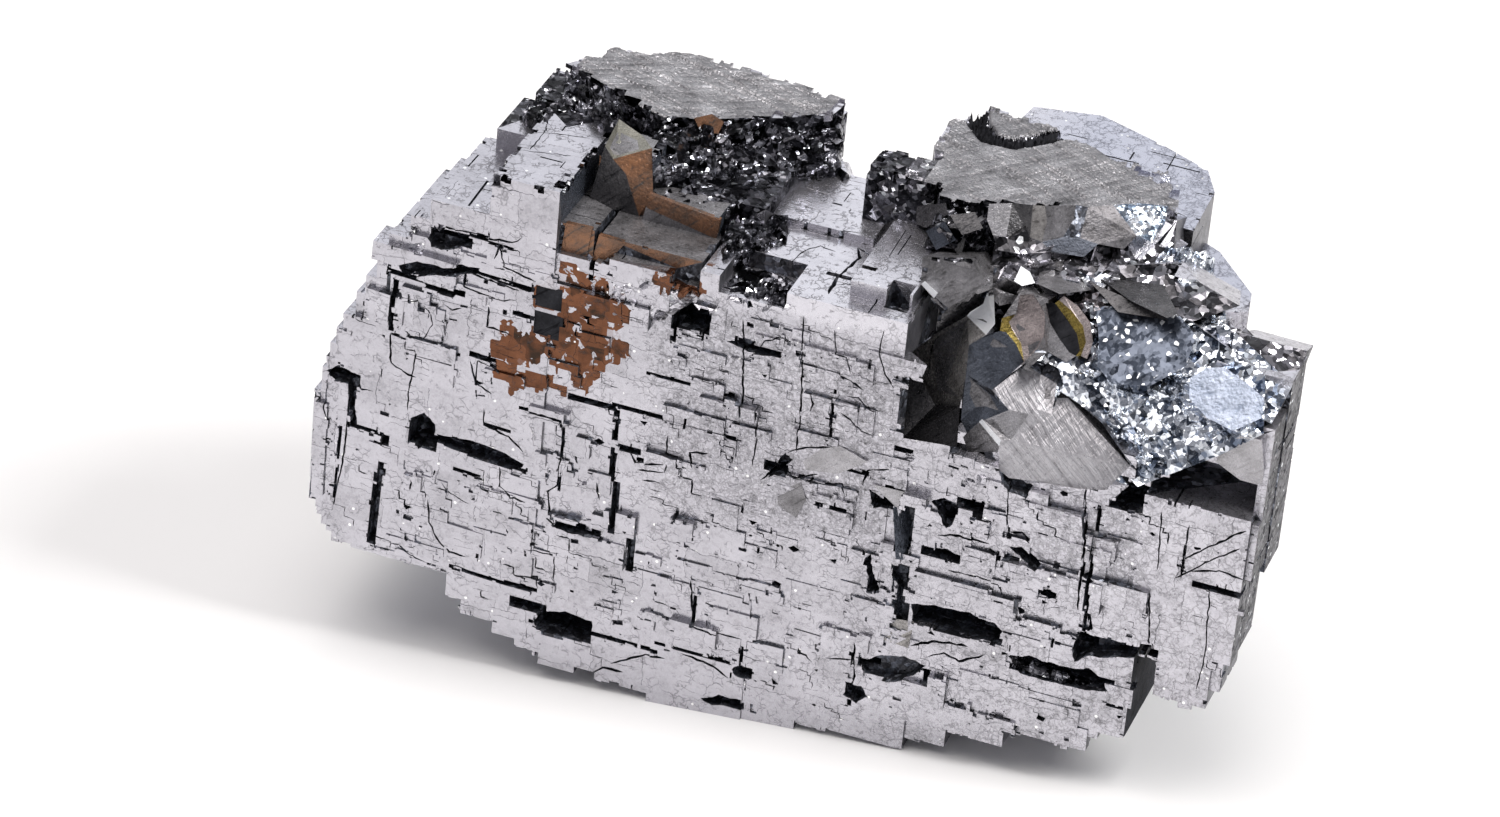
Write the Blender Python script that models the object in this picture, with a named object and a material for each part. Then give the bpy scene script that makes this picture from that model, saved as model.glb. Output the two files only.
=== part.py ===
"""Galena: an intergrown cluster of stepped cubic crystals, made as one closed solid.

Everything is drawn in the crystal's own cubic lattice, in millimetres: across (to the
right), up and out (towards the front face, which is the plane out = 0).  The lattice
leans a few degrees clockwise on the table, and the finished cluster stands on a small
flat broken at its foot, with the centre of that footprint's bounding box as the origin.
"""
import math
import random

import bmesh
import bpy
from mathutils import Euler, Matrix, Vector

MM = 0.001
LATTICE_LEAN = math.radians(5.0)     # clockwise, seen from the front
FOOT_LEVEL = -23.3                   # height of the resting flat below the lattice centre
TERRACE_TOP = 15.3                   # top of the middle block
LEFT_TOP = 18.9                      # top of the left block
CLUSTER_TOP = 20.2                   # top of the two crystals at the back
SLAB_TOP = 6.3                       # top of the slab at the right
WALL_AT = 15.0                       # side wall of the middle block, beside the cavity
MERGE_BELOW = 1.0e-7                 # metres: shorter edges are stray slivers
FLAT_WITHIN = math.radians(0.05)     # faces this close to level with each other are one
LUMP_CORNERS = 10
BACK_CUBE_COUNT = 46
PLATE_COUNT = 62                     # thin cleavage plates left standing on the front
GALENA_GREY = (0.58, 0.56, 0.62, 1.0)

# Blocks of the front, each (across from, to, up from, to, out from, to).
FRONT_BLOCKS = {
    "heart": (-18, 30, -16.5, 4.1, -26.4, -0.3),
    "middle column": (-1.2, WALL_AT, -19, TERRACE_TOP, -17.5, 0.0),
    "middle column cap": (9.8, 14.6, 8, 16.6, -16, -1.9),
    "shoulder": (-13, -0.5, -18, 13.6, -12, -0.15),
    "left block": (-18.0, -12.6, -17, LEFT_TOP, -12.4, 0.1),
    "left step": (-22.8, -15, -17, 15.4, -11, -0.15),
    "left second step": (-25.9, -16, -16.6, 11.7, -11, 0.05),
    "left third step": (-27.7, -18, -17.2, 7.4, -17, -0.25),
    "left fourth step": (-29.3, -19, -16.9, 3.7, -18.2, 0.0),
    "left fifth step": (-30.4, -20, -15.9, 0.6, -19.7, -0.45),
    "left half step": (-24.4, -15, -16.5, 13.5, -10.2, -0.35),
    "left second half step": (-26.8, -17, -16.8, 9.6, -11.3, -0.1),
    "left third half step": (-28.5, -18, -16.4, 5.6, -17.4, -0.5),
    "left fourth half step": (-29.85, -19, -16.2, 2.2, -18.6, -0.2),
    "left fifth half step": (-31.0, -20, -15.2, -1.8, -16.3, -0.6),
    "left tip": (-31.7, -22, -14.2, -4.2, -14.6, -0.9),
    "left tip rib": (-31.3, -30.3, -13.2, -4.9, -12, -0.25),
    "left foot": (-19.6, -6, -19.1, -9, -18.8, -0.1),
    "left foot second step": (-18.4, -4, -20.6, -9, -18, -0.4),
    "left foot third step": (-15.6, -4, -21.4, -9, -18, -0.15),
    "foot": (-13.7, 12, -22.1, -9, -24, -0.2),
    "foot second step": (-11.6, 9.5, -23.0, -12, -24, -0.05),
    "foot toe": (-2.5, 5.2, -24.6, -12, -21, 0.12),
    "foot right": (4, 18.2, -21.7, -9, -24, 0.0),
    "foot right second step": (8, 21.4, -20.6, -9, -24, -0.3),
    "foot right third step": (12, 26.0, -18.9, -8, -23, 0.1),
    "foot right fourth step": (14, 30.8, -17.4, -8, -20.6, -0.1),
    "foot right fifth step": (18, 33.2, -15.9, -8, -18.5, 0.05),
    "lower right block": (16, 35.2, -15.2, -7.4, -14, 0.15),
    "right body": (14.6, 35.0, -8.4, 4.3, -24, -0.12),
    "right slab": (34.3, 42.4, -6.4, SLAB_TOP, -5.8, 0.1),
    "right slab foot": (36.9, 41.0, -10.8, -6, -4.6, -0.1),
    "right slab edge": (35.4, 41.8, -9.3, -3, -5.2, -0.45),
    "right slab ledge": (37.6, 42.9, 0.9, 5.7, -6, -0.5),
    "column": (37.6, 42.9, 0.4, 13.6, -8.2, -1.2),
    "column back": (37.2, 43.0, -0.6, 16.0, -8.3, -4.4),
}

# Blocks of the notch between the left and middle blocks, and of the back.
BACK_BLOCKS = {
    "notch ledge": (-12.8, -9.9, 9, 15.9, -8, -0.75),
    "notch ledge right": (-9.6, -1.4, 9, 15.5, -8, -0.95),
    "notch block": (-11.6, -7.6, 9, 20.2, -8.8, -5.3),
    "notch bar": (-7.5, -1.7, 9, 17.2, -8.4, -4.8),
    "notch back": (-13, 1, 6, 17.3, -16, -7.5),
    "terrace back step": (-2, 9, 6, 15.9, -17.9, -9.5),
    "small block": (7.2, 12.6, 6, 20.4, -15.4, -12.0),
    "left back step": (-21.4, -16, 0, 17.2, -15, -9.5),
    "left back second step": (-19.8, -13, 0, 19.0, -17.5, -12.5),
    "left back third step": (-23.4, -14, -12, 11.2, -21.3, -10.6),
    "back mass": (-17, 28, -16, 10.2, -25.5, -9.3),
    "back mass top": (-14, 1.5, -4, 14.4, -22.5, -13.6),
    "back mass top right": (12, 24, -4, 15.4, -25, -13.6),
    "back foot": (-14, 20, -24.6, -12, -25, -8),
    "back step low": (-12, 24, -18, 4, -30.5, -22),
    "back step left": (-21, -8, -14, 5.5, -24, -16),
    "back step right": (14, 31.5, -14, 8.4, -27, -18),
    "back rib": (-4, 9, -12, 6.2, -32.5, -24),
    "right back step": (26, 36, -11.5, 9.6, -17, -8),
    "right back second step": (28, 38.5, -8.5, 12.6, -12.5, -7),
}

# Blocks that grew turned: the same six numbers, then the turn about the up axis
# and the lean about the out axis, both in degrees.
TURNED_BLOCKS = {
    "far left crystal": (-15, -4, -9, 11.2, -29, -20, 11, -3),
    "far left cube": (-22, -15.5, -8, 2.5, -24, -14, 8, 5),
    "under cube": (-25, -17, -18.6, -12, -15, -5, -6, 4),
    "back cube": (6, 15, -19, -7, -33.0, -25, 17, 6),
    "back cube high": (-1, 6, -2, 8.4, -29, -22, -9, 3),
    "foot cube": (-12, -5, -23, -16, -27, -20, 21, 7),
    "foot cube right": (12, 19, -22, -15, -28.5, -21, -16, -5),
    "left rear cube": (-27.5, -21, -12, -4, -22, -15, 9, -3),
    "back cube right": (22, 30, -12, -2, -31.0, -23, 12, -5),
    "back cube low left": (-13, -5, -17, -8, -27, -20, -13, 4),
    "right cube": (33, 39, -6, 3, -17, -9, 9, 4),
}

# Level-topped prisms: corners (across, out) anticlockwise from above, bottom, top.
PRISMS = {
    "left back crystal": (
        ((-13.2, -13.9), (-9.4, -12.3), (-5.3, -13.9), (-0.4, -17.4), (1.9, -18.9),
         (2.4, -21.6), (-6.5, -22.9), (-10.5, -22.7), (-16.4, -20.7), (-18.9, -16.8)),
        2.0, CLUSTER_TOP),
    "right back crystal": (
        ((13.7, -9.8), (20.0, -12.4), (30.0, -16.9), (29.2, -20.2), (22.1, -23.0),
         (18.3, -24.8), (12.4, -25.7), (10.4, -21.8), (10.6, -17.5)),
        2.0, CLUSTER_TOP + 0.2),
    "right back crystal shelf": (
        ((13.4, -7.6), (19.6, -9.2), (27.0, -11.0), (33.6, -12.2), (31.0, -17.0), (14.0, -20.0)),
        0.0, 16.6),
    "far crystal": (
        ((14.4, -31.2), (19.6, -32.4), (24.9, -30.3), (29.4, -28.0), (30.8, -25.0),
         (31.0, -18.6), (20.0, -19.0), (13.6, -25.0)),
        -5.0, 18.0),
    "far crystal step": (
        ((28.6, -25.5), (32.2, -23.4), (33.3, -20.2), (36.1, -18.5), (36.6, -15.8), (29.0, -12.0)),
        -9.0, 14.0),
}

# Oblique facets in the cavity and on the broken crystal at the right: each is the
# outline of the facet, (across, up, out) for each corner, and how far it goes back.
FACETS = {
    "cavity grey facet": (
        ((14.3, 18.5, -4.4), (17.9, 19.2, -4.6), (19.4, 17.8, -3.9), (17.0, 15.5, -3.2),
         (14.6, 16.6, -3.7)), 7.0),
    "cavity taupe facet": (
        ((14.7, 11.4, -3.6), (19.0, 15.9, -2.4), (20.5, 14.9, -2.0), (19.3, 8.2, -3.4),
         (16.0, 6.6, -5.2)), 6.0),
    "cavity slate facet": (
        ((19.0, 14.7, -2.0), (23.5, 13.3, -1.6), (21.3, 10.6, -1.8), (19.1, 10.8, -2.7)), 6.0),
    "cavity blue facet": (
        ((19.2, 10.9, -2.6), (21.4, 10.6, -1.7), (22.3, 8.9, -1.7), (21.9, 3.9, -2.2),
         (20.2, 3.9, -3.2), (19.2, 6.6, -3.4)), 6.0),
    "cavity light facet": (
        ((21.5, 10.6, -1.5), (23.4, 12.7, -2.6), (26.1, 11.3, -3.2), (25.9, 9.5, -2.2),
         (23.2, 9.0, -1.1)), 6.0),
    "cavity low facet": (
        ((21.0, 7.9, -1.1), (23.3, 9.3, -1.3), (23.6, 3.8, -0.5), (22.3, 3.7, -0.5)), 6.0),
    "striated facet": (
        ((25.9, 10.3, -3.3), (33.0, 6.6, 0.0), (31.1, 4.0, 0.2), (23.1, 3.8, -0.3),
         (22.8, 6.5, -1.5), (24.3, 9.2, -2.5)), 7.0),
    "cavity tall facet": (
        ((21.9, 17.5, -5.2), (23.9, 17.2, -5.2), (24.6, 13.4, -4.0), (23.6, 12.2, -3.2),
         (21.7, 13.4, -2.8), (21.0, 15.4, -3.6)), 6.0),
    "broken face": (
        ((22.8, 12.4, -4.4), (26.2, 11.2, -3.1), (33.7, 6.9, 0.35), (39.4, 11.3, 0.4),
         (42.2, 13.4, -0.6), (41.0, 16.2, -4.0), (34.5, 17.2, -7.0), (27.3, 15.6, -6.6)), 8.0),
    "broken shoulder": (
        ((27.0, 15.8, -6.3), (34.5, 17.4, -6.8), (37.2, 18.0, -9.6), (31.0, 18.8, -11.6),
         (24.2, 18.0, -9.0)), 6.0),
    "bright crystal": (
        ((25.6, 20.3, -14.2), (30.2, 19.9, -16.2), (31.4, 16.2, -11.6), (27.6, 16.6, -9.8)), 6.0),
    "column top": (
        ((38.6, 14.6, -2.0), (42.5, 13.9, -1.4), (43.0, 15.6, -4.6), (42.9, 16.5, -8.2),
         (37.6, 17.2, -7.2)), 5.0),
}

# Slots and pits cut square into the crystal: (across from, to, up from, to, out from, to).
SLOTS = {
    "left upper groove": (-22.7, -19.3, 12.1, 13.0, -1.6, 2),
    "left upper groove tail": (-19.6, -15.9, 13.0, 13.3, -1.0, 2),
    "left long groove": (-26.0, -21.4, 8.2, 8.65, -1.2, 2),
    "left long groove middle": (-21.6, -17.2, 7.85, 8.45, -1.6, 2),
    "left long groove end": (-17.5, -13.9, 7.5, 7.9, -1.1, 2),
    "left fine groove": (-20.2, -14.0, 10.1, 10.4, -0.7, 2),
    "left upright groove": (-25.45, -25.0, 3.3, 7.9, -1.0, 2),
    "left lower groove": (-25.3, -19.6, 2.75, 3.05, -0.8, 2),
    "left lower groove end": (-18.9, -16.7, 2.85, 3.35, -1.0, 2),
    "left square pit": (-30.4, -27.6, -2.4, -1.3, -2.2, 2),
    "tip upright groove": (-28.5, -27.9, -4.9, -2.2, -1.2, 2),
    "tip fine groove": (-29.3, -29.0, -13.1, -6.3, -0.8, 2),
    "tip level groove": (-28.5, -25.4, -6.2, -5.8, -0.9, 2),
    "left wide groove": (-25.7, -25.0, -9.7, -6.0, -1.5, 2),
    "left wide groove low": (-26.2, -25.45, -16.2, -9.6, -1.3, 2),
    "sparkle pit": (-23.4, -21.0, -6.3, -4.2, -2.4, 2),
    "sparkle arm": (-21.2, -18.2, -5.5, -4.7, -1.7, 2),
    "sparkle arm middle": (-18.5, -15.5, -6.0, -5.0, -1.5, 2),
    "sparkle arm end": (-15.9, -13.6, -6.1, -5.65, -1.1, 2),
    "sparkle step": (-19.6, -17.3, -7.6, -7.25, -0.8, 2),
    "centre fine groove": (-17.3, -15.1, -2.85, -2.55, -0.7, 2),
    "foot crack": (-19.4, -14.6, -16.5, -16.15, -1.2, 2),
    "foot crack end": (-14.8, -12.1, -16.6, -16.1, -1.6, 2),
    "dark pit": (-12.0, -7.4, -20.0, -18.2, -4.4, 2),
    "dark pit arm": (-14.3, -11.2, -18.5, -17.5, -2.0, 2),
    "low long crack": (-7.6, -1.9, -19.1, -18.7, -1.4, 2),
    "low long crack right": (-2.2, 4.1, -18.2, -17.9, -1.2, 2),
    "low square pit": (4.6, 5.8, -19.1, -18.1, -2.0, 2),
    "low dash": (2.5, 5.4, -22.05, -21.4, -1.8, 2),
    "long line": (-10.8, -7.0, 1.3, 1.85, -1.1, 2),
    "long line right": (-7.3, 2.8, 1.65, 2.05, -1.4, 2),
    "upper line": (-4.8, 2.3, 5.2, 5.5, -1.0, 2),
    "centre upright groove": (-7.1, -6.6, -4.9, 1.5, -1.3, 2),
    "centre upright groove low": (-6.7, -6.1, -9.3, -4.8, -1.3, 2),
    "centre upright step": (-5.1, -4.5, -12.4, -9.2, -1.0, 2),
    "centre stair": (-6.6, -4.7, -2.0, -1.4, -0.9, 2),
    "centre stair low": (-5.0, -2.7, -2.5, -2.2, -0.8, 2),
    "centre jagged groove": (-10.9, -7.2, -9.9, -9.3, -1.2, 2),
    "centre fine upright": (-11.1, -10.85, -7.0, -1.0, -0.8, 2),
    "centre box": (-14.6, -11.1, -0.55, -0.25, -0.7, 2),
    "brown square pit": (-13.9, -11.8, 6.4, 10.7, -1.2, 2),
    "gold pit": (-3.2, -0.1, 9.9, 12.4, -3.0, 2),
    "gold pit side": (-3.2, -2.7, 8.6, 11.5, -2.2, 2),
    "panel slot": (1.9, 6.0, 10.0, 10.6, -1.6, 2),
    "panel joint": (9.9, 10.15, 3.9, 9.0, -0.8, 2),
    "fine upright right": (0.6, 0.9, -15.5, -11.5, -0.8, 2),
    "fine upright low": (4.7, 5.0, -18.1, -15.5, -0.9, 2),
    "notch of the middle": (5.1, 7.0, -0.2, 0.7, -1.6, 2),
    "dash of the middle": (9.5, 12.0, -1.9, -1.5, -1.4, 2),
    "dash over the channel": (11.3, 13.3, 1.55, 2.0, -1.5, 2),
    "channel": (15.9, 17.1, -4.1, 0.0, -1.1, 2),
    "channel middle": (16.5, 17.2, -8.6, -4.0, -1.3, 2),
    "channel low": (16.2, 17.6, -11.0, -8.4, -1.0, 2),
    "channel notch": (13.7, 15.4, -0.8, 0.2, -1.9, 2),
    "channel window": (13.6, 14.1, -6.2, -5.1, -1.6, 2),
    "channel window low": (14.1, 14.6, -8.5, -6.8, -1.6, 2),
    "dark patch": (18.9, 20.3, -1.0, 0.5, -2.2, 2),
    "dark patch right": (20.2, 22.3, 0.4, 1.8, -2.6, 2),
    "slot over the dark slot": (17.9, 21.0, -4.0, -3.2, -2.6, 2),
    "slot over the dark slot right": (21.2, 24.5, -2.8, -2.3, -1.6, 2),
    "long dark slot": (17.9, 24.6, -10.0, -8.3, -3.4, 2),
    "long dark slot end": (24.0, 25.4, -9.8, -8.0, -3.0, 2),
    "square hole": (27.4, 28.8, -4.8, -3.8, -1.8, 2),
    "rough band": (25.5, 30.2, -11.7, -10.4, -2.2, 2),
    "rough band right": (29.8, 34.0, -11.6, -10.3, -2.4, 2),
    "rough band end": (33.6, 34.9, -12.7, -11.3, -3.0, 2),
    "low hollow": (14.1, 19.8, -15.0, -13.8, -1.6, 2),
    "low crack": (13.55, 13.9, -19.0, -14.0, -1.4, 2),
    "right upright crack": (30.9, 31.2, -7.0, 4.4, -1.8, 2),
    "right step": (30.6, 32.0, -8.7, -7.0, -2.6, 2),
    "right long slot": (31.8, 36.9, -7.8, -7.05, -3.2, 2),
    "slab slot": (38.7, 42.9, -0.45, 0.1, -1.4, 2),
    "slab upright": (37.7, 37.95, 0.1, 2.9, -0.6, 2),
    "under the broken face": (33.8, 42.2, SLAB_TOP - 0.05, 9.6, -6.5, -0.05),
    "hole in the broken face": (24.4, 26.4, 13.2, 16.2, -12, -4),
    "ledge split": (-9.95, -9.55, 12, 18, -4.6, 2),
    "terrace recess": (0.3, 5.6, 13.9, 18, -4.6, 2),
    "terrace crack": (7.2, 11.0, 14.9, 18, -4.4, -3.9),
    "terrace pit": (12.6, 14.4, 14.4, 19, -3.4, -1.4),
    "under the slab": (35.3, 36.8, -14, -8.0, -16, 4),
    "foot notch left": (-8.6, -6.9, -25, -22.4, -7, 4),
}


def lattice_matrix():
    """The turn from (across, up, out) in mm to the standing crystal in metres."""
    lean_cos, lean_sin = math.cos(LATTICE_LEAN), math.sin(LATTICE_LEAN)
    return Matrix(((lean_cos, lean_sin, 0.0, 0.0),
                   (0.0, 0.0, -1.0, 0.0),
                   (-lean_sin, lean_cos, 0.0, 0.0),
                   (0.0, 0.0, 0.0, 1.0))) @ Matrix.Scale(MM, 4)


def new_object(name, mesh_data, collection):
    """Link a bmesh as an object and free it."""
    mesh = bpy.data.meshes.new(name)
    mesh_data.to_mesh(mesh)
    mesh_data.free()
    made = bpy.data.objects.new(name, mesh)
    collection.objects.link(made)
    return made


def block(name, sides, collection, turn=0.0, lean=0.0):
    """A box between its six sides, turned about its own centre."""
    west, east, low, high, rear, front = sides
    mesh_data = bmesh.new()
    bmesh.ops.create_cube(mesh_data, size=1.0)
    size = Matrix.Diagonal((east - west, high - low, front - rear, 1.0))
    middle = Matrix.Translation(((west + east) / 2, (low + high) / 2, (rear + front) / 2))
    spin = Euler((0.0, math.radians(turn), math.radians(lean))).to_matrix().to_4x4()
    mesh_data.transform(lattice_matrix() @ middle @ spin @ size)
    return new_object(name, mesh_data, collection)


def hull(name, corners, collection):
    """The closed convex solid round some points."""
    mesh_data = bmesh.new()
    for corner in corners:
        mesh_data.verts.new(lattice_matrix() @ Vector(corner))
    bmesh.ops.convex_hull(mesh_data, input=mesh_data.verts)
    loose = [vertex for vertex in mesh_data.verts if not vertex.link_faces]
    bmesh.ops.delete(mesh_data, geom=loose, context="VERTS")
    bmesh.ops.recalc_face_normals(mesh_data, faces=mesh_data.faces)
    return new_object(name, mesh_data, collection)


def prism(name, outline, low, high, collection):
    """An upright prism with a level top."""
    corners = [(across, level, out) for across, out in outline for level in (low, high)]
    return hull(name, corners, collection)


def facet(name, outline, depth, collection):
    """A facet with the crystal behind it narrowing a little as it goes back."""
    middle = sum((Vector(corner) for corner in outline), Vector()) / len(outline)
    rear = [middle.lerp(Vector(corner), 0.8) - Vector((0, 0.35 * depth, depth)) for corner in outline]
    return hull(name, list(outline) + rear, collection)


def lump(name, centre, radius, rng, collection):
    """A small broken crystal: the hull of points scattered on a ball, cut flat on top."""
    corners = []
    for _ in range(LUMP_CORNERS):
        height, turn = rng.uniform(-1, 1), rng.uniform(0, 2 * math.pi)
        width = math.sqrt(1 - height * height)
        away = Vector((width * math.cos(turn), min(height, 0.55), width * math.sin(turn)))
        corners.append(Vector(centre) + away * radius * rng.uniform(0.85, 1.15))
    return hull(name, corners, collection)


def cleavage_plates(collection, rng):
    """Thin rectangular plates that stand a little proud of the front face."""
    for index in range(PLATE_COUNT):
        across = rng.uniform(-26, 33)
        up = rng.uniform(-17, 12 if across < -14 else (13 if across < 14 else 2.5))
        if across < -19:
            up = max(up, -14.5)
        width, height = rng.uniform(1.6, 6.5), rng.uniform(0.9, 3.4)
        proud = 0.14 + 0.62 * rng.random() ** 2
        lean = -2.5 if across < -14 else 0.0
        block(f"plate {index}", (across - width / 2, across + width / 2, up - height / 2,
                                 up + height / 2, -2.0, proud - 0.05), collection, 0.0, lean)


def rough_growth(collection, rng):
    """Small crystals crowded on the broken parts: along an edge from A to B each."""
    edges = (
        ((-19.5, 16.6, -12.2), (-12.6, 18.6, -13.6), 7, 1.2),
        ((-9.5, 17.6, -12.0), (2.0, 17.2, -18.6), 12, 1.5),
        ((-8.5, 15.0, -11.6), (5.0, 15.2, -18.2), 9, 1.3),
        ((14.0, 18.2, -9.0), (30.5, 18.0, -16.6), 16, 1.6),
        ((15.5, 15.8, -6.6), (33.5, 17.0, -11.4), 14, 1.7),
        ((20.0, 16.6, -5.6), (29.0, 15.6, -7.4), 6, 1.2),
        ((34.0, 16.4, -9.2), (41.5, 15.4, -6.6), 8, 1.2),
        ((31.0, 15.0, -16.5), (38.6, 13.0, -10.0), 8, 1.6),
        ((16.0, 19.0, -24.6), (28.6, 19.2, -21.4), 6, 1.2),
        ((15.2, 4.0, -1.0), (22.6, 3.6, -0.5), 6, 0.7),
        ((-7.0, 13.0, -0.5), (0.5, 12.8, -0.6), 7, 0.8),
        ((0.5, 13.2, -0.5), (5.5, 14.2, -0.6), 5, 0.8),
        ((-25.5, 9.6, -0.6), (-21.0, 14.0, -0.7), 6, 0.7),
    )
    for row, (start, end, count, radius) in enumerate(edges):
        for index in range(count):
            place = Vector(start).lerp(Vector(end), (index + rng.uniform(0.2, 0.8)) / count)
            place += Vector([rng.uniform(-0.45, 0.45) * radius for _ in range(3)])
            lump(f"growth {row} {index}", place, radius * rng.uniform(0.75, 1.25), rng, collection)


def back_growth(collection, rng):
    """Cubes stepping down the back and the underside, each turned a little."""
    for index in range(BACK_CUBE_COUNT):
        across = rng.uniform(-19, 31)
        up = rng.uniform(-15, 9)
        bulge = math.cos((across - 6) / 27 * math.pi / 2)
        reach = -21.5 - 8.5 * bulge + rng.uniform(-1.5, 1.5) + max(0.0, up) * 0.35
        side = rng.uniform(2.2, 6.0)
        block(f"back cube {index}", (across - side / 2, across + side / 2, up - side / 2,
                                     up + side / 2, reach, reach + 9), collection,
              rng.uniform(-8, 8), rng.uniform(-5, 5))


def level_ground(collection):
    """The cutter that breaks the foot off level, for the cluster to stand on."""
    mesh_data = bmesh.new()
    bmesh.ops.create_cube(mesh_data, size=1.0)
    reach, depth = 160 * MM, 40 * MM
    top = Matrix.Translation((0.0, 0.0, FOOT_LEVEL * MM - depth / 2))
    mesh_data.transform(top @ Matrix.Diagonal((reach, reach, depth, 1.0)))
    return new_object("level ground", mesh_data, collection)


def boolean(target, operation, operands):
    """Apply one exact Boolean between the target and every object of a collection."""
    cut = target.modifiers.new(operation, "BOOLEAN")
    cut.operation = operation
    cut.solver = "EXACT"
    cut.operand_type = "COLLECTION"
    cut.collection = operands
    depsgraph = bpy.context.evaluated_depsgraph_get()
    finished = bpy.data.meshes.new_from_object(target.evaluated_get(depsgraph))
    target.modifiers.remove(cut)
    target.data = finished
    for used in list(operands.objects):
        bpy.data.objects.remove(used)


def new_group(name):
    """A collection for the solids of one Boolean."""
    group = bpy.data.collections.new(name)
    bpy.context.scene.collection.children.link(group)
    return group


def keep_main_shell(work):
    """Delete loose crumbs and sealed voids: all faces not joined edge to edge to the main shell."""
    shells, waiting = [], set(work.faces)
    while waiting:
        front = [waiting.pop()]
        shell = list(front)
        while front:
            face = front.pop()
            fresh = {near for edge in face.edges for near in edge.link_faces if near in waiting}
            waiting -= fresh
            shell += fresh
            front += fresh
        shells.append(shell)
    shells.sort(key=len)
    crumbs = [face for shell in shells[:-1] for face in shell]
    bmesh.ops.delete(work, geom=crumbs, context="FACES")


def tidy_mesh(mesh):
    """Join flat neighbouring faces and close up stray slivers."""
    work = bmesh.new()
    work.from_mesh(mesh)
    bmesh.ops.dissolve_degenerate(work, edges=work.edges, dist=MERGE_BELOW)
    bmesh.ops.dissolve_limit(work, angle_limit=FLAT_WITHIN, verts=work.verts, edges=work.edges)
    bmesh.ops.triangulate(work, faces=work.faces, ngon_method="EAR_CLIP")
    keep_main_shell(work)
    work.to_mesh(mesh)
    work.free()


def centre_on_foot(mesh):
    """Move the origin to the middle of the footprint's box, at its lowest level."""
    low = Vector([min(vertex.co[axis] for vertex in mesh.vertices) for axis in range(3)])
    high = Vector([max(vertex.co[axis] for vertex in mesh.vertices) for axis in range(3)])
    mesh.transform(Matrix.Translation((-(low.x + high.x) / 2, -(low.y + high.y) / 2, -low.z)))


def galena_material():
    """Bright lead-grey metal with a faint violet cast."""
    material = bpy.data.materials.new("galena")
    material.use_nodes = True
    shader = material.node_tree.nodes["Principled BSDF"]
    shader.inputs["Base Color"].default_value = GALENA_GREY
    shader.inputs["Metallic"].default_value = 0.9
    shader.inputs["Roughness"].default_value = 0.28
    return material


def build_galena():
    """Grow the cluster, cut its slots, break off its foot and place it."""
    rng = random.Random(84)
    additions = new_group("growth")
    for name, sides in {**FRONT_BLOCKS, **BACK_BLOCKS}.items():
        block(name, sides, additions)
    for name, values in TURNED_BLOCKS.items():
        block(name, values[:6], additions, values[6], values[7])
    for name, (outline, low, high) in PRISMS.items():
        prism(name, outline, low, high, additions)
    for name, (outline, depth) in FACETS.items():
        facet(name, outline, depth, additions)
    cleavage_plates(additions, rng)
    rough_growth(additions, rng)
    back_growth(additions, rng)

    scene_root = bpy.context.scene.collection
    galena = block("galena_crystal", (-10, 12, -10, 2, -20, -5), scene_root)
    boolean(galena, "UNION", additions)

    slots = new_group("slots")
    for name, sides in SLOTS.items():
        lean = -2.5 if sides[1] < -13 else 0.0
        block(name, sides, slots, 0.0, lean)
    level_ground(slots)
    boolean(galena, "DIFFERENCE", slots)

    tidy_mesh(galena.data)
    centre_on_foot(galena.data)
    galena.data.materials.clear()
    galena.data.materials.append(galena_material())
    return galena


for old in list(bpy.data.objects):
    bpy.data.objects.remove(old)
build_galena()
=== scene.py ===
"""Galena: an intergrown cluster of stepped cubic crystals with a broken, sparkling hollow.

The crystal is drawn in its own cubic lattice in millimetres: across (to the right), up and
out (towards the large front face, which is the plane out = 0).
"""
import functools
import math

import bmesh
import bpy
import numpy as np
from mathutils import Matrix, Vector
from mathutils.bvhtree import BVHTree


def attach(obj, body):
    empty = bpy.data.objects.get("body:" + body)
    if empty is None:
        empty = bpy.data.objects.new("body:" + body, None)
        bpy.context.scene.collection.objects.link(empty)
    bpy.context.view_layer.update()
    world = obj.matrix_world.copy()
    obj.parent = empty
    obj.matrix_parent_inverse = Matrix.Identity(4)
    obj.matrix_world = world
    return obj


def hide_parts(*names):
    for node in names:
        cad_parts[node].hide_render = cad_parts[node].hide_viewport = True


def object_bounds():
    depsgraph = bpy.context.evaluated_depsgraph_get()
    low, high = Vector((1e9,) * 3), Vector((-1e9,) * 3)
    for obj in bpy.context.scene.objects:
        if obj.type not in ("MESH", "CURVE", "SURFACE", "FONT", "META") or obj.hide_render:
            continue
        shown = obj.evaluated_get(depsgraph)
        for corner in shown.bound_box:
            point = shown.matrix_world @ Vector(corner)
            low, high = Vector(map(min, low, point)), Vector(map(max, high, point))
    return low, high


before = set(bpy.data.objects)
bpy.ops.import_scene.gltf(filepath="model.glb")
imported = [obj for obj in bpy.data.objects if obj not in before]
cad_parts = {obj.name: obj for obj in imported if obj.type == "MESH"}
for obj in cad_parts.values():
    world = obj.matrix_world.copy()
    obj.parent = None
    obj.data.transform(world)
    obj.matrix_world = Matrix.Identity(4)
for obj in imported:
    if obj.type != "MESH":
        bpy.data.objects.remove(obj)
cad_low, cad_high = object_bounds()

MM = 0.001
LEAN = math.radians(5.0)                      # the lattice leans clockwise on the table
ACROSS = (math.cos(LEAN), 0.0, -math.sin(LEAN))
UP = (math.sin(LEAN), 0.0, math.cos(LEAN))
OUT = (0.0, -1.0, 0.0)
LATTICE = np.array((ACROSS, UP, OUT))
SWAPPED = np.array(((1, 0, 0), (0, 0, 1), (0, -1, 0)))  # (across, up, out) to (across, back, up)
LATTICE_CENTRE = np.array((-5.707, -16.719, 23.300))   # mm from the middle of the foot

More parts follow.
